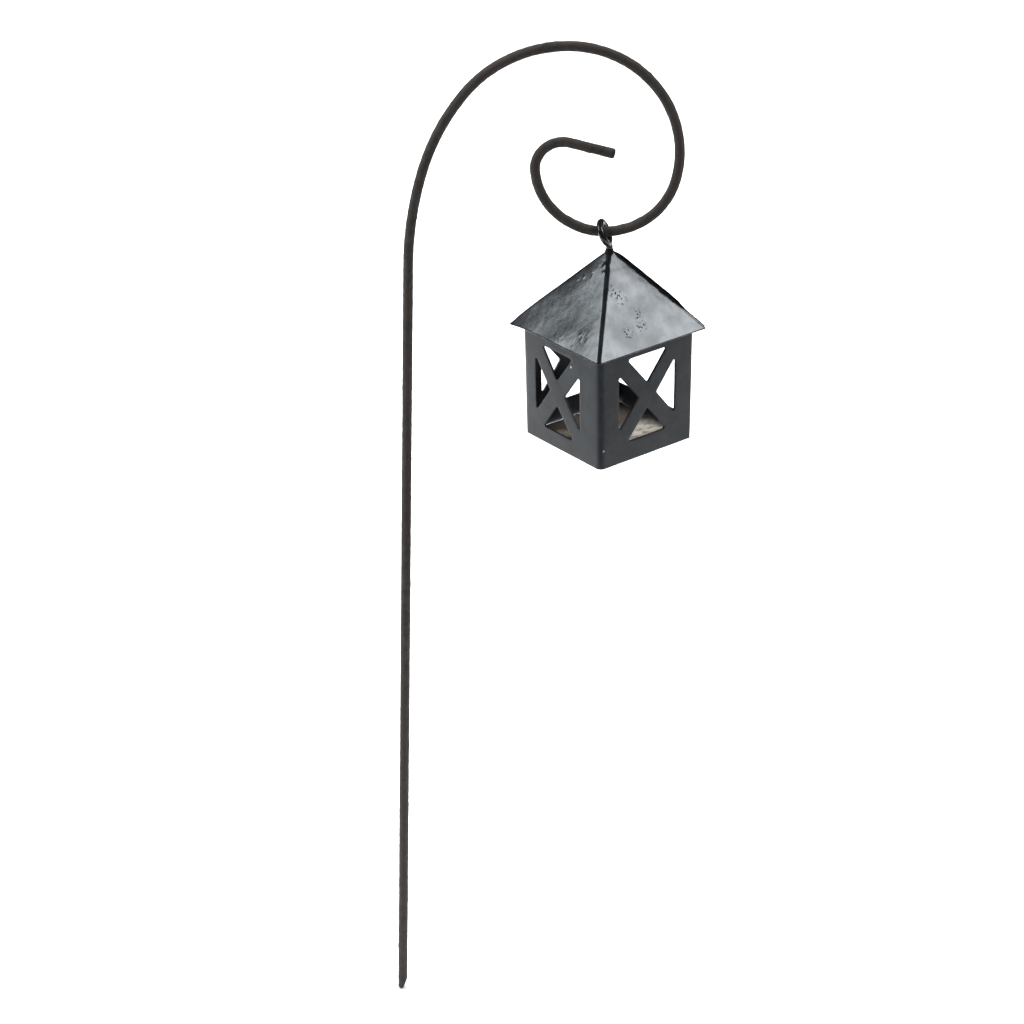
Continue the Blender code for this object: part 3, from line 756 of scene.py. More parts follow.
def eye_centre():
    drop = ROD_RADIUS + EYE_REST_GAP - (EYE_RING_RADIUS - EYE_WIRE_RADIUS)
    return PIVOT + Vector((EYE_RING_RADIUS * math.sin(EYE_LEAN), 0.0, drop))


def circle(radius, count, z):
    angles = [math.tau * i / count for i in range(count)]
    return [Vector((radius * math.cos(angle), radius * math.sin(angle), z)) for angle in angles]


def rough_eye(centre, apex):
    """The plain ring and its shank, as an object to be run together."""
    builder = bmesh.new()
    sections = []
    for i in range(EYE_STEPS):
        around = math.tau * i / EYE_STEPS
        sections.append([centre + eye_point(around, math.tau * j / EYE_SIDES) for j in range(EYE_SIDES)])
    skin_sections(builder, sections + sections[:1])
    bmesh.ops.remove_doubles(builder, verts=builder.verts, dist=SAME_PLACE)
    swell_start, swell_end = SHANK_SWELL_HEIGHTS
    profile = (
        (SHANK_RADIUS, apex - SHANK_DEPTH),
        (SHANK_RADIUS, apex + swell_start),
        (SHANK_NECK_RADIUS, apex + swell_end),
        (SHANK_NECK_RADIUS, centre.z - EYE_RING_RADIUS),
    )
    base = Vector((PIVOT.x, PIVOT.y, 0.0))
    rows = skin_sections(builder, [[base + p for p in circle(radius, EYE_SIDES, z)] for radius, z in profile])
    builder.faces.new(rows[0])
    builder.faces.new(rows[-1])
    bmesh.ops.recalc_face_normals(builder, faces=builder.faces)
    mesh = bpy.data.meshes.new("eye_rough")
    builder.to_mesh(mesh)
    builder.free()
    rough = bpy.data.objects.new("eye_rough", mesh)
    bpy.context.scene.collection.objects.link(rough)
    return rough


def build_eye(material):
    """The ring and its shank, run together by a fine remesh."""
    centre = eye_centre()
    apex = PIVOT.z - PIVOT_ABOVE_EAVES + ROOF_HEIGHT
    rough = rough_eye(centre, apex)
    remesh = rough.modifiers.new("fuse", "REMESH")
    remesh.mode = "VOXEL"
    remesh.voxel_size = EYE_VOXEL
    soften = rough.modifiers.new("soften", "SMOOTH")
    soften.factor = 0.5
    soften.iterations = EYE_SMOOTHING
    fused = bmesh.new()
    fused.from_object(rough, bpy.context.evaluated_depsgraph_get())
    bpy.data.objects.remove(rough, do_unlink=True)
    top = centre.z + EYE_RING_RADIUS
    for vertex in fused.verts:
        share = min(1.0, max(0.0, (top - vertex.co.z) / (top - apex)))
        vertex.co.x += APEX_SHIFT * share - EYE_TOP_SHIFT * (1.0 - share)
        vertex.co += vertex.normal * EYE_WAVE * fractal(vertex.co, EYE_WAVE_SIZE)
    make_piece("eye_ring", fused, material, "lantern", ["hanging_eye"], 80.0, EYE_TOLERANCE)


def roof_level(half):
    return ROOF_HEIGHT * (1.0 - half / EAVE_HALF)


def build_apex_solder(material):
    """A small lump of solder that climbs from the roof's point up the shank, uneven all round."""
    builder = bmesh.new()
    inner = SHANK_RADIUS + APEX_SOLDER_GAP
    sections = []
    for ring in range(APEX_SOLDER_RINGS + 1):
        share = ring / APEX_SOLDER_RINGS
        row = []
        for way in circle(1.0, APEX_SOLDER_SIDES, 0.0):
            wobble = 1.0 + APEX_SOLDER_RAGGED * fractal(way, 0.8)
            reach = inner + (APEX_SOLDER_RADIUS * wobble - inner) * share
            x, y = reach * way.x, reach * way.y
            slope = roof_level(min(reach, 0.93 * reach + 0.07 * max(abs(x), abs(y))))
            climb = APEX_SOLDER_CLIMB * (1.0 - share) ** 1.7
            lumps = APEX_SOLDER_LUMP * fractal(Vector((x, y, 0.0)), APEX_SOLDER_LUMP_SIZE)
            height = slope + climb + APEX_SOLDER_LIFT * (1.0 - share) + lumps
            row.append((x, y, height - APEX_SOLDER_DROP * share**4))
        sections.append(row)
    under = [(x, y, z - APEX_SOLDER_DEPTH) for x, y, z in sections[-1]]
    low = min(z for _x, _y, z in under)
    core = circle(inner, APEX_SOLDER_SIDES, low)
    skin_sections(builder, sections + [under, core, sections[0]])
    bmesh.ops.remove_doubles(builder, verts=builder.verts, dist=SAME_PLACE)
    lean_roof(builder)
    nodes, slot = ["apex_solder"], "black_enamel"
    make_piece("apex_solder_lump", builder, material, "lantern", nodes, 60.0, APEX_SOLDER_TOLERANCE)


# --- Roof ----------------------------------------------------------------------------------------


def roof_outline(half, radii):
    """Points round a square with round corners, from its seam corner on +X +Y round to it again."""
    points = []
    corners = ((1, 1), (-1, 1), (-1, -1), (1, -1), (1, 1))
    for index, (sx, sy) in enumerate(corners):
        radius = radii[index]
        inset = half - radius
        first = index * QUARTER
        last = first + QUARTER
        if index == 0:
            first = 0.5 * QUARTER
        if index == len(corners) - 1:
            last = first + 0.5 * QUARTER
        arc = []
        for step in range(ROOF_RIDGE_COLUMNS + 1):
            angle = first + (last - first) * step / ROOF_RIDGE_COLUMNS
            cos, sin = math.cos(angle), math.sin(angle)
            arc.append((Vector((sx * inset + radius * cos, sy * inset + radius * sin)), Vector((cos, sin))))
        if points:
            start, end = points[-1], arc[0]
            for column in range(1, ROOF_FACE_COLUMNS):
                share = column / ROOF_FACE_COLUMNS
                points.append((start[0].lerp(end[0], share), start[1]))
        points.extend(arc)
    return points


def ridge_radius(half, radius):
    """The ridges' radius at this size of square: it swells to a circle just below the point."""
    round_off = max(0.0, (ROOF_SHOULDER_HALF - half) / (ROOF_SHOULDER_HALF - ROOF_TOP_HALF))
    return radius + (NEARLY_ROUND * half - radius) * round_off


def roof_profile():
    """Rows up the outside, round the eave's cut edge and up the inside: (half side, thinned by, height)."""
    rows = []
    for row in range(ROOF_ROWS, 0, -1):
        half = EAVE_HALF + (ROOF_TOP_HALF - EAVE_HALF) * row / ROOF_ROWS
        rows.append((half, 0.0, roof_level(half)))
    for step in range(ROUND_STEPS + 1):
        angle = QUARTER * step / ROUND_STEPS
        back, up = ROOF_EDGE * (1.0 - math.cos(angle)), ROOF_EDGE * (1.0 - math.sin(angle))
        rows.append((EAVE_HALF - back, 0.0, up))
    rows.append((EAVE_HALF - ROOF_WALL_OFFSET + 0.5 * ROOF_EDGE, ROOF_WALL_OFFSET, 0.0))
    inner_rows = ROOF_ROWS // 2
    for row in range(inner_rows + 1):
        half = EAVE_HALF + (ROOF_INNER_TOP_HALF - EAVE_HALF) * row / inner_rows
        rows.append((half - ROOF_WALL_OFFSET, ROOF_WALL_OFFSET, max(0.5 * ROOF_EDGE, roof_level(half))))
    return rows


def corner_radii(half, thinned):
    """The radius of each corner of the roof's square, from the seam's corner round to it again."""
    radii = []
    for corner in range(5):
        full = FRONT_RIDGE_RADIUS if corner == 3 else RIDGE_RADIUS
        if corner == 2:
            blend = smooth_step(half + thinned, EAVE_HALF - LEFT_CORNER_BLEND, EAVE_HALF)
            full += (LEFT_CORNER_RADIUS - full) * blend
        thin = max(SHARPEST_RIDGE, ridge_radius(half + thinned, full) - thinned)
        radii.append(min(NEARLY_ROUND * half, thin))
    return radii


def bent_corners(place, height, first_face):
    """How far two eave corners pull a point of the roof: the first face's at the seam, and the left one."""
    pull = Vector((0.0, 0.0, 0.0))
    if first_face and height < ROOF_NOTCH_REACH:
        corner_gap = math.hypot(place.x - EAVE_HALF, place.y - EAVE_HALF)
        lift = max(0.0, 1.0 - corner_gap / ROOF_NOTCH_REACH) * max(0.0, 1.0 - height / ROOF_NOTCH_REACH)
        pull += ROOF_NOTCH_PULL * ROOF_NOTCH * lift
    corner_gap = math.hypot(place.x + EAVE_HALF, place.y + EAVE_HALF)
    droop = max(0.0, 1.0 - corner_gap / LEFT_CORNER_REACH)
    return pull + LEFT_CORNER_PULL * LEFT_CORNER_DROOP * droop**1.5


def build_roof(material):
    """The folded pyramid, a little wavy and spotted with paint nibs, its two ends meeting at the seam."""
    builder = bmesh.new()
    nibs = roof_nibs()
    end_gap = Vector((-ROOF_END_GAP, ROOF_END_GAP, 0.0))
    sections = []
    for half, thinned, height in roof_profile():
        section = []
        fade = min(1.0, (ROOF_HEIGHT - height) / ROOF_FADE)
        for column, (place, outward) in enumerate(roof_outline(half, corner_radii(half, thinned))):
            point = Vector((place.x, place.y, height))
            facing = Vector((outward.x, outward.y, EAVE_HALF / ROOF_HEIGHT)).normalized()
            along = min(abs(place.x), abs(place.y)) / half
            bow = ROOF_BOW * (1.0 - along * along) * math.sin(math.pi * min(1.0, height / ROOF_HEIGHT)) ** 0.5
            wave = sum(rise * fractal(point, size, 2) for size, rise in ROOF_WAVES)
            point += facing * ((wave + bow) * fade + nibs.rise(point))
            point += bent_corners(place, height, column <= ROOF_FACE_COLUMNS)
            section.append(point)
        section[0] += end_gap
        section[-1] -= end_gap
        sections.append(section)
    rows = skin_sections(builder, sections, closed_section=False)
    count = len(rows[0])
    for i in range(count - 1):
        builder.faces.new((rows[-1][i], rows[-1][i + 1], rows[0][i + 1], rows[0][i]))
    for end in (0, count - 1):
        close_end(builder, [row[end] for row in rows])
    lean_roof(builder)
    make_piece("roof_sheet", builder, material, "lantern", ["roof_shell"], sharp=70.0)


def roof_nibs():
    """Nibs of dry paint: a few anywhere on the roof and more where they crowd together."""
    low, high = (-EAVE_HALF, -EAVE_HALF, 0.0), (EAVE_HALF, EAVE_HALF, ROOF_HEIGHT)
    nibs = Lumps(ROOF_LUMP_COUNT, low, high, ROOF_LUMP_RADIUS, ROOF_LUMP, ROOF_LUMP_SEED)
    random = np.random.default_rng(NIB_SEED)
    backwards = LANTERN.inverted()
    centres = [backwards @ nib_place(nib) for nib in NIB_CLUSTERS]
    for index in range(ROOF_LUMP_COUNT):
        if index < NIBS_PER_CLUSTER * len(centres):
            spread = random.normal(0.0, NIB_SPREAD, 3)
            nibs.places[index] = np.array(centres[index % len(centres)]) + spread
            nibs.heights[index] *= NIB_BOOST
        x, y, _z = nibs.places[index]
        nibs.places[index][2] = roof_level(min(EAVE_HALF, max(abs(x), abs(y))))
    runs = len(RIDGE_RUNS)
    nibs.places = np.vstack((nibs.places, np.array(RIDGE_RUNS) * MM))
    nibs.radii = np.append(nibs.radii, np.full(runs, RIDGE_RUN_RADIUS))
    nibs.heights = np.append(nibs.heights, np.full(runs, RIDGE_RUN_HEIGHT))
    return nibs


def lean_roof(builder):
    """Leans everything above the eaves a little, then moves it from the lantern's own frame to its place."""
    for vertex in builder.verts:
        vertex.co += ROOF_LEAN * max(0.0, vertex.co.z)
    bmesh.ops.transform(builder, matrix=LANTERN, verts=builder.verts)


def close_end(builder, loop):
    """Fills the sheet's narrow end between its outside and its inside."""
    pairs = zip(loop, loop[1:] + loop[:1])
    edges = [builder.edges.get(pair) or builder.edges.new(pair) for pair in pairs]
    bmesh.ops.triangle_fill(builder, edges=edges, use_beauty=True)


def uneven(share, seed, amount, waves):
    """A factor near 1 that wanders along the seam's bead."""
    return 1.0 + amount * fractal(Vector((share * waves, seed, 0.0)), 1.0)


def build_roof_seam(material):
    """A bead of solder run down over the seam ridge, thick above and smeared thin near the eave."""
    builder = bmesh.new()
    before, after = SEAM_BEAD_THINNING
    sections = []
    for step in range(SEAM_BEAD_STEPS + 1):
        share = step / SEAM_BEAD_STEPS
        half = SEAM_BEAD_HIGH_HALF + (SEAM_BEAD_LOW_HALF - SEAM_BEAD_HIGH_HALF) * share
        thick = 1.0 - smooth_step(half, SEAM_BEAD_THICK_END - before, SEAM_BEAD_THICK_END + after)
        thick = SEAM_BEAD_SMEAR + (1.0 - SEAM_BEAD_SMEAR) * thick
        taper = math.sqrt(max(0.0, 1.0 - (2.0 * share - 1.0) ** 12))
        size = thick * taper
        width = SEAM_BEAD_NARROWEST + (1.0 - SEAM_BEAD_NARROWEST) * size
        leg = min(SEAM_BEAD_LEG * width * uneven(share, 7.3, *SEAM_BEAD_RAGGED), 0.8 * half)
        back = min(SEAM_BEAD_BACK * width, 0.6 * half)
        swell = size * uneven(share, 2.7, *SEAM_BEAD_LUMPY)
        crest = Vector((SEAM_CREST[0] * swell, SEAM_CREST[1] * swell))
        sections.append(seam_section(half, leg, back, crest))
    rows = skin_sections(builder, sections)
    builder.faces.new(rows[0])
    builder.faces.new(rows[-1])
    lean_roof(builder)
    nodes, slot = ["roof_seam_solder"], "black_enamel"
    make_piece("roof_seam_bead", builder, material, "lantern", nodes, 60.0, SEAM_BEAD_TOLERANCE)


def smooth_step(value, low, high):
    share = min(1.0, max(0.0, (value - low) / (high - low)))
    return share * share * (3.0 - 2.0 * share)


def seam_section(half, leg, back, crest):
    """A level section of the bead: up a hollow ramp to the crest, down the back and along in the sheet."""
    start, end = Vector((SOLDER_GAP, -leg)), Vector((-back, SOLDER_GAP))
    outline = []
    for i in range(SEAM_BEAD_AROUND):
        share = i / SEAM_BEAD_AROUND
        hollow = 0.22 * crest.x * math.sin(math.pi * share)
        outline.append(start.lerp(crest, share) + Vector((-hollow, 0.0)))
    for i in range(SEAM_BEAD_AROUND + 1):
        share = i / SEAM_BEAD_AROUND
        belly = 0.25 * crest.y * math.sin(math.pi * share)
        outline.append(crest.lerp(end, share) + Vector((0.0, belly)))
    outline += [Vector((-back, -0.00015)), Vector((-0.0004, -0.0004)), Vector((-0.00015, -leg))]
    level = roof_level(half)
    return [Vector((half + point.x, half + point.y, level)) for point in outline]


# --- Walls ---------------------------------------------------------------------------------------


def rounded_polygon(corners, radius):
    """A convex outline with each corner replaced by a short arc, and its sides cut into short steps."""
    outline = []
    count = len(corners)
    for i in range(count):
        corner = Vector(corners[i])
        before = (Vector(corners[i - 1]) - corner).normalized()
        after = (Vector(corners[(i + 1) % count]) - corner).normalized()
        half_angle = 0.5 * before.angle(after)
        reach = radius / math.tan(half_angle)
        centre = corner + (before + after).normalized() * (radius / math.sin(half_angle))
        start = corner + before * reach - centre
        sweep = start.angle_signed(corner + after * reach - centre)
        if outline:
            outline.extend(steps_between(outline[-1], centre + start))
        for step in range(CORNER_POINTS + 1):
            angle = -sweep * step / CORNER_POINTS
            x = start.x * math.cos(angle) - start.y * math.sin(angle)
            y = start.x * math.sin(angle) + start.y * math.cos(angle)
            outline.append(Vector((centre.x + x, centre.y + y)))
    outline.extend(steps_between(outline[-1], outline[0]))
    return outline


def steps_between(start, end):
    """Evenly spaced points between two others, neither of them included."""
    count = max(1, round((end - start).length / WALL_EDGE_STEP))
    return [start.lerp(end, step / count) for step in range(1, count)]


def window_outlines(middle, lift, trim):
    """The four windows that leave an X between the corners of one wall."""
    slope = math.atan2(WINDOW_HALF_WIDTH, WINDOW_HALF_HEIGHT)
    across = 0.5 * BAR_WIDTH / math.cos(slope)
    along = 0.5 * BAR_WIDTH / math.sin(slope)
    wide, high = WINDOW_HALF_WIDTH - trim, WINDOW_HALF_HEIGHT
    shapes = (
        ((0.0, along), (wide - across, high), (across - wide, high)),
        ((0.0, -along), (across - wide, -high), (wide - across, -high)),
        ((across, 0.0), (wide, along - high), (wide, high - along)),
        ((-across, 0.0), (-wide, high - along), (-wide, along - high)),
    )
    centre = WINDOW_CENTRE + lift
    return [rounded_polygon([(middle + x, centre + z) for x, z in shape], CORNER_ROUND) for shape in shapes]


def door_outline(middle):
    back = middle - WALL_HALF_TOP + DOOR_BACK_STRIP
    seam = middle + WALL_HALF_TOP - DOOR_SEAM_STRIP
    corners = ((back, DOOR_SILL), (seam, DOOR_SILL), (seam, DOOR_HEAD), (back, DOOR_HEAD))
    return rounded_polygon(corners, CORNER_ROUND)


def blank_stations():
    """Stretches of the flat blank: (kind, wall or corner number, length), from seam to seam."""
    side = 2.0 * WALL_HALF_TOP
    bend = QUARTER * BEND_RADIUS
    middle = side - 2.0 * BEND_RADIUS
    stretches = [("flat", 0, side - SEAM_INSET - BEND_RADIUS)]
    for number, length in ((1, middle), (2, middle), (3, side - BEND_RADIUS - SHEET - SEAM_CLEARANCE)):
        stretches.append(("bend", number, bend))
        stretches.append(("flat", number, length))
    return stretches


def flat_lead(number):
    return SEAM_INSET if number == 0 else BEND_RADIUS


def wall_half(z):
    """Half the walls' width at height z, outside the sheet."""
    drawn_in = (WALL_TOP - z) / (WALL_TOP - WALL_BOTTOM)
    return WALL_HALF_TOP + (WALL_HALF_BOTTOM - WALL_HALF_TOP) * drawn_in


def fold(u, z, depth):
    """Takes a point of the flat blank to its place on the folded, slightly bulging walls."""
    start = 0.0
    for kind, number, length in blank_stations():
        travelled = u - start
        if travelled <= length + SAME_PLACE:
            break
        start += length
    half = WALL_HALF_TOP
    quarter = number
    if kind == "flat":
        y = half - flat_lead(number) - travelled
        middle = math.cos(QUARTER * y / half)
        bow = middle * math.cos(QUARTER * (z - WALL_BULGE_CENTRE) / WALL_BULGE_HALF)
        wave = WALL_WAVE * fractal(Vector((u, z, 0.0)), WALL_WAVE_SIZE, 2) * middle
        x = half - depth + WALL_BULGE * bow + wave
    else:
        angle = travelled / BEND_RADIUS
        quarter -= 1
        reach = BEND_RADIUS - depth
        x = half - BEND_RADIUS + reach * math.cos(angle)
        y = -half + BEND_RADIUS - reach * math.sin(angle)
    for _ in range(quarter):
        x, y = y, -x
    scale = wall_half(z) / WALL_HALF_TOP
    return Vector((x * scale, y * scale, z))


def inside_convex(point, outline):
    signs = set()
    for i, corner in enumerate(outline):
        side = outline[(i + 1) % len(outline)] - corner
        cross = side.cross(point - corner)
        if abs(cross) > 1e-12:
            signs.add(cross > 0.0)
    return len(signs) == 1


def outline_gap(point, outline):
    """Distance from a point to the nearest corner of an outline."""
    return min((point - corner).length for corner in outline)


def blank_columns():
    """Where the blank needs a line of points: its ends, its bends and each wall's middle."""
    columns, middles, start = [0.0], [], 0.0
    for kind, number, length in blank_stations():
        if kind == "bend":
            columns.extend(start + length * step / BEND_COLUMNS for step in range(BEND_COLUMNS + 1))
        else:
            middles.append(start + WALL_HALF_TOP - flat_lead(number))
        start += length
    columns.append(start)
    return columns, middles, start


def flat_blank():
    """Small triangles of the flat blank, with its windows and doorway left out."""
    columns, middles, width = blank_columns()
    openings = [door_outline(middles[DOOR_WALL])]
    for middle, shift, lift, trim in zip(middles, WINDOW_SHIFTS, WINDOW_LIFTS, WINDOW_TRIMS):
        openings.extend(window_outlines(middle + shift, lift, trim))
    points, edges = [], []

    def add_line(line, closed):
        first = len(points)
        points.extend(line)
        count = len(line)
        for i in range(count if closed else count - 1):
            edges.append((first + i, first + (i + 1) % count))

    for u in columns:
        low, high = Vector((u, WALL_BOTTOM)), Vector((u, WALL_TOP))
        add_line([low, *steps_between(low, high), high], closed=False)
    for z in (WALL_BOTTOM, WALL_TOP):
        for left, right in zip(columns, columns[1:]):
            start, end = Vector((left, z)), Vector((right, z))
            add_line([start, *steps_between(start, end), end], closed=False)
    for outline in openings:
        add_line(outline, closed=True)
    for column in range(1, int(width / WALL_GRID)):
        for row in range(1, int((WALL_TOP - WALL_BOTTOM) / WALL_GRID)):
            stagger = 0.5 * (row % 2)
            point = Vector(((column + stagger) * WALL_GRID, WALL_BOTTOM + row * WALL_GRID))
            near_column = min(abs(point.x - u) for u in columns) < 0.4 * WALL_GRID
            if near_column or any(outline_gap(point, o) < 0.5 * WALL_GRID for o in openings):
                continue
            if not any(inside_convex(point, outline) for outline in openings):
                points.append(point)
    verts, _edges, faces, _v, _e, _f = delaunay_2d_cdt(points, edges, [], 0, 0.1 * SAME_PLACE)
    kept = []
    for face in faces:
        centre = sum((verts[i] for i in face), Vector((0.0, 0.0))) / len(face)
        if not any(inside_convex(centre, outline) for outline in openings):
            kept.append(face)
    return verts, kept


def join_sides(builder, upper, lower, triangles):
    """Makes a sheet of its two sides, closes and rounds its cut edges, and moves it to the lantern's place."""
    uses = set()
    for a, b, c in triangles:
        builder.faces.new((upper[a], upper[b], upper[c]))
        builder.faces.new((lower[c], lower[b], lower[a]))
        uses.update(((a, b), (b, c), (c, a)))
    for a, b in sorted(uses):
        if (b, a) not in uses:
            builder.faces.new((upper[b], upper[a], lower[a], lower[b]))
    loose = [vertex for vertex in builder.verts if not vertex.link_faces]
    bmesh.ops.delete(builder, geom=loose, context="VERTS")
    bmesh.ops.recalc_face_normals(builder, faces=builder.faces)
    sharp = [edge for edge in builder.edges if edge.calc_face_angle(0.0) > CUT_EDGE_ANGLE]
    bmesh.ops.bevel(builder, geom=sharp, offset=CUT_EDGE_ROUND, segments=2, profile=0.6, affect="EDGES")
    bmesh.ops.transform(builder, matrix=LANTERN, verts=builder.verts)


def build_walls(material):
    flat_points, triangles = flat_blank()
    builder = bmesh.new()
    outer = [builder.verts.new(fold(p.x, p.y, 0.0)) for p in flat_points]
    inner = [builder.verts.new(fold(p.x, p.y, SHEET)) for p in flat_points]
    join_sides(builder, outer, inner, triangles)
    make_piece("wall_sheet", builder, material, "lantern", ["body_wrap"], sharp=35.0)


def wall_inside(z):
    return (WALL_HALF_TOP - SHEET) * wall_half(z) / WALL_HALF_TOP


def build_body_seam(material):
    """A rough fillet of solder down the inside of the corner where the sheet's ends meet."""
    builder = bmesh.new()
    sections = []
    for step in range(FILLET_STEPS + 1):
        share = step / FILLET_STEPS
        z = FILLET_LOW + (FILLET_HIGH - FILLET_LOW) * share
        corner = wall_inside(z) - SOLDER_GAP
        taper = math.sqrt(max(0.02, 1.0 - (2.0 * share - 1.0) ** 12))
        ragged = 1.0 + FILLET_RAGGED * fractal(Vector((0.0, 0.0, z)), FILLET_RAGGED_SIZE)
        size = FILLET_SIZE * taper * ragged
        section = [Vector((corner, corner, z))]
        for i in range(FILLET_ACROSS + 1):
            angle = QUARTER * i / FILLET_ACROSS
            reach = size * (1.0 - FILLET_SAG * math.sin(2.0 * angle))
            point = Vector((corner - reach * math.sin(angle), corner - reach * math.cos(angle), z))
            lump = SOLDER_LUMP * fractal(point, SOLDER_LUMP_SIZE)
            section.append(point - Vector((lump, lump, 0.0)))
        sections.append(section)
    rows = skin_sections(builder, sections)
    builder.faces.new(rows[0])
    builder.faces.new(rows[-1])
    bmesh.ops.transform(builder, matrix=LANTERN, verts=builder.verts)
    make_piece("wall_seam_fillet", builder, material, "lantern", ["body_seam_solder"], sharp=60.0)


# --- Floor ---------------------------------------------------------------------------------------


def floor_outline():
    inside = wall_inside(WALL_BOTTOM)
    near = inside - FLOOR_GAP
    slit = -(inside - FLOOR_SLIT)
    corners = (
        (near, near - FLOOR_CLIP),
        (near - FLOOR_CLIP, near),
        (slit + FLOOR_CLIP, near),
        (slit, near - FLOOR_CLIP),
        (slit, FLOOR_CLIP - near),
        (slit + FLOOR_CLIP, -near),
        (near - FLOOR_CLIP, -near),
        (near, FLOOR_CLIP - near),
    )
    outline = []
    for i, corner in enumerate(corners):
        start, end = Vector(corner), Vector(corners[(i + 1) % len(corners)])
        outline.append(start)
        outline.extend(steps_between(start, end))
    return outline


def build_floor(upper, underside):
    """The loose-fitting floor, snipped from sheet with slightly wavy edges."""
    builder = bmesh.new()
    outline = floor_outline()
    points = []
    for point in outline:
        wobble = FLOOR_EDGE_WAVE * fractal(Vector((point.x, point.y, 0.0)), FLOOR_EDGE_WAVE_SIZE)
        points.append(point * (1.0 + (wobble - FLOOR_TRIM) / point.length))
    edges = [(i, (i + 1) % len(points)) for i in range(len(points))]
    steps = int(wall_inside(WALL_BOTTOM) / WALL_GRID)
    for column in range(-steps, steps + 1):
        for row in range(-steps, steps + 1):
            point = Vector(((column + 0.5 * (row % 2)) * WALL_GRID, row * WALL_GRID))
            if inside_convex(point, outline) and outline_gap(point, outline) > 0.5 * WALL_GRID:
                points.append(point)
    verts, _edges, faces, _v, _e, _f = delaunay_2d_cdt(points, edges, [], 1, 0.1 * SAME_PLACE)
    bottom = WALL_BOTTOM + FLOOR_LIFT
    waves = [FLOOR_WAVE * (fractal(Vector((p.x, p.y, 0.0)), FLOOR_WAVE_SIZE, 2) - 1.0) for p in verts]
    low = [builder.verts.new((p.x, p.y, bottom)) for p in verts]
    high = [builder.verts.new((p.x, p.y, bottom + SHEET + wave)) for p, wave in zip(verts, waves)]
    join_sides(builder, high, low, faces)
    piece = make_piece("floor_sheet", builder, upper, "lantern", ["floor_plate"], sharp=35.0)
    piece.data.materials.append(underside)
    for face in piece.data.polygons:
        if face.normal.z < -0.5:
            face.material_index = 1


def build_solder_blob(name, node, material, seed):
    """A dab of solder, softened and lumped from the plain form its CAD tack has."""
    builder = bmesh.new()
    builder.from_mesh(frame["nodes"][node].data)
    bmesh.ops.triangulate(builder, faces=builder.faces[:])
    bmesh.ops.subdivide_edges(builder, edges=builder.edges[:], cuts=BLOB_CUTS, use_grid_fill=True)
    for _ in range(BLOB_SOFTENING):
        bmesh.ops.smooth_vert(
            builder, verts=builder.verts[:], factor=0.5, use_axis_x=True, use_axis_y=True, use_axis_z=True
        )
    builder.normal_update()
    offset = Vector((seed, 0.0, 0.0))
    for vertex in builder.verts:
        vertex.co += vertex.normal * (BLOB_SWELL + BLOB_LUMP * fractal(vertex.co + offset, SOLDER_LUMP_SIZE))
    make_piece(name, builder, material, "lantern", [node], sharp=80.0)


# --- Stage ---------------------------------------------------------------------------------------


def add_stage(name, paint, builder, look):
    """Adds a part of the studio, which isn't part of the object, painted with one plain look."""
    mesh = bpy.data.meshes.new(name)
    builder.to_mesh(mesh)
    builder.free()
    material = bpy.data.materials.new(paint)
    material.use_nodes = True
    shader = material.node_tree.nodes["Principled BSDF"]
    for socket, value in look.items():
        shader.inputs[socket].default_value = value
    mesh.materials.append(material)
    item = bpy.data.objects.new(name, mesh)
    bpy.context.scene.collection.objects.link(item)
    return item


def build_stage():
    """A white floor under the lights, and a white backdrop round it that gives no light of its own."""
    builder = bmesh.new()
    bmesh.ops.create_grid(builder, x_segments=2, y_segments=2, size=1.0)
    matt = {"Base Color": (0.90, 0.90, 0.90, 1.0), "Roughness": 0.9, "Specular IOR Level": 0.0}
    floor = add_stage("studio_floor", "studio_white", builder, matt)
    floor.scale = (*GROUND_SIZE, 1.0)
    floor.location = GROUND_PLACE
    builder = bmesh.new()
    bmesh.ops.create_icosphere(builder, subdivisions=4, radius=BACKDROP_RADIUS)
    bmesh.ops.reverse_faces(builder, faces=builder.faces)
    glow = {"Base Color": (0.0, 0.0, 0.0, 1.0), "Specular IOR Level": 0.0}
    glow |= {"Emission Color": (*WHITE, 1.0), "Emission Strength": 1.0}
    backdrop = add_stage("studio_backdrop", "backdrop_white", builder, glow)
    backdrop.visible_diffuse = backdrop.visible_glossy = False
    backdrop.visible_transmission = backdrop.visible_shadow = False


def add_softbox(name, place, target, size, radiance, colour=WHITE):
    light = bpy.data.lights.new(name, "AREA")
    light.shape = "RECTANGLE"
    light.size, light.size_y = size
    light.energy = math.pi * size[0] * size[1] * radiance
    light.color = colour
    lamp = bpy.data.objects.new(name, light)
    lamp.location = place
    lamp.rotation_mode = "QUATERNION"
    lamp.rotation_quaternion = (target - place).to_track_quat("-Z", "Y")
    bpy.context.scene.collection.objects.link(lamp)
    return lamp


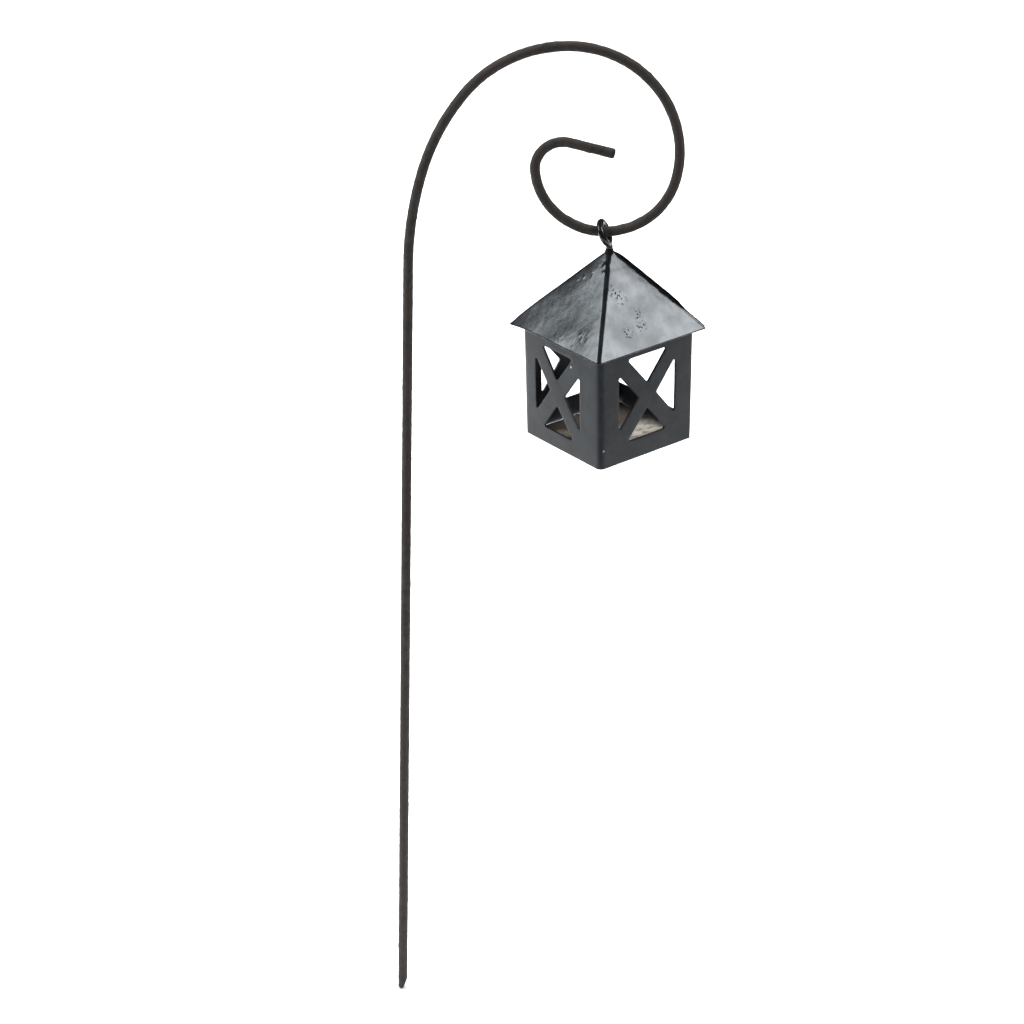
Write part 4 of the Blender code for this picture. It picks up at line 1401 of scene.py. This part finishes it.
def build_lights():
    """Two soft boxes that the roof's faces mirror, and two lamps from above that only light matt surfaces."""
    lantern = PIVOT - Vector((0.0, 0.0, LANTERN_MIDDLE))
    for name, direction, side, radiance, colour in SOFTBOXES:
        place = lantern + SOFTBOX_DISTANCE * Vector(direction)
        add_softbox(name, place, lantern, (side, side), radiance, colour)
    wash = ("overhead_wash", Vector(WASH_PLACE), WASH_SIZE, WASH_RADIANCE)
    kicker = ("floor_kicker", lantern + Vector(KICKER_PLACE), KICKER_SIZE, KICKER_RADIANCE)
    for name, place, size, radiance in (wash, kicker):
        lamp = add_softbox(name, place, place - Vector((0.0, 0.0, 1.0)), size, radiance)
        lamp.visible_glossy = False
    world = bpy.data.worlds.new("studio_air")
    world.use_nodes = True
    background = world.node_tree.nodes["Background"]
    background.inputs["Color"].default_value = (*WHITE, 1.0)
    background.inputs["Strength"].default_value = AIR_RADIANCE
    bpy.context.scene.world = world
    bpy.context.scene.view_settings.view_transform = "Standard"


def build_camera():
    camera = bpy.data.cameras.new("camera")
    camera.sensor_width = 36.0
    camera.lens = CAMERA_LENS
    camera.clip_start = 0.01
    camera.clip_end = 50.0
    holder = bpy.data.objects.new("camera", camera)
    upright = Matrix.Rotation(QUARTER - CAMERA_PITCH, 4, "X")
    holder.matrix_world = Matrix.Translation(CAMERA_PLACE) @ upright @ Matrix.Rotation(CAMERA_ROLL, 4, "Z")
    bpy.context.scene.collection.objects.link(holder)
    bpy.context.scene.camera = holder


def main():
    wall_paint = make_wall_enamel()
    seam_paint = make_seam_enamel()
    solder = make_solder_finish()
    build_crook(make_rod_finish())
    build_eye(seam_paint)
    build_apex_solder(seam_paint)
    build_roof(make_roof_enamel())
    build_roof_seam(seam_paint)
    build_walls(wall_paint)
    build_body_seam(solder)
    build_floor(make_bare_sheet("bare_sheet", True), make_bare_sheet("scorched_sheet", False))
    for seed, side in enumerate(("right", "front", "left", "back")):
        build_solder_blob(f"floor_solder_{side}", f"floor_tack_{side}", solder, 3.0 * seed)
        build_solder_blob(f"roof_solder_{side}", f"roof_tack_{side}", solder, 3.0 * seed + 1.5)
    build_stage()
    build_lights()
    build_camera()


main()
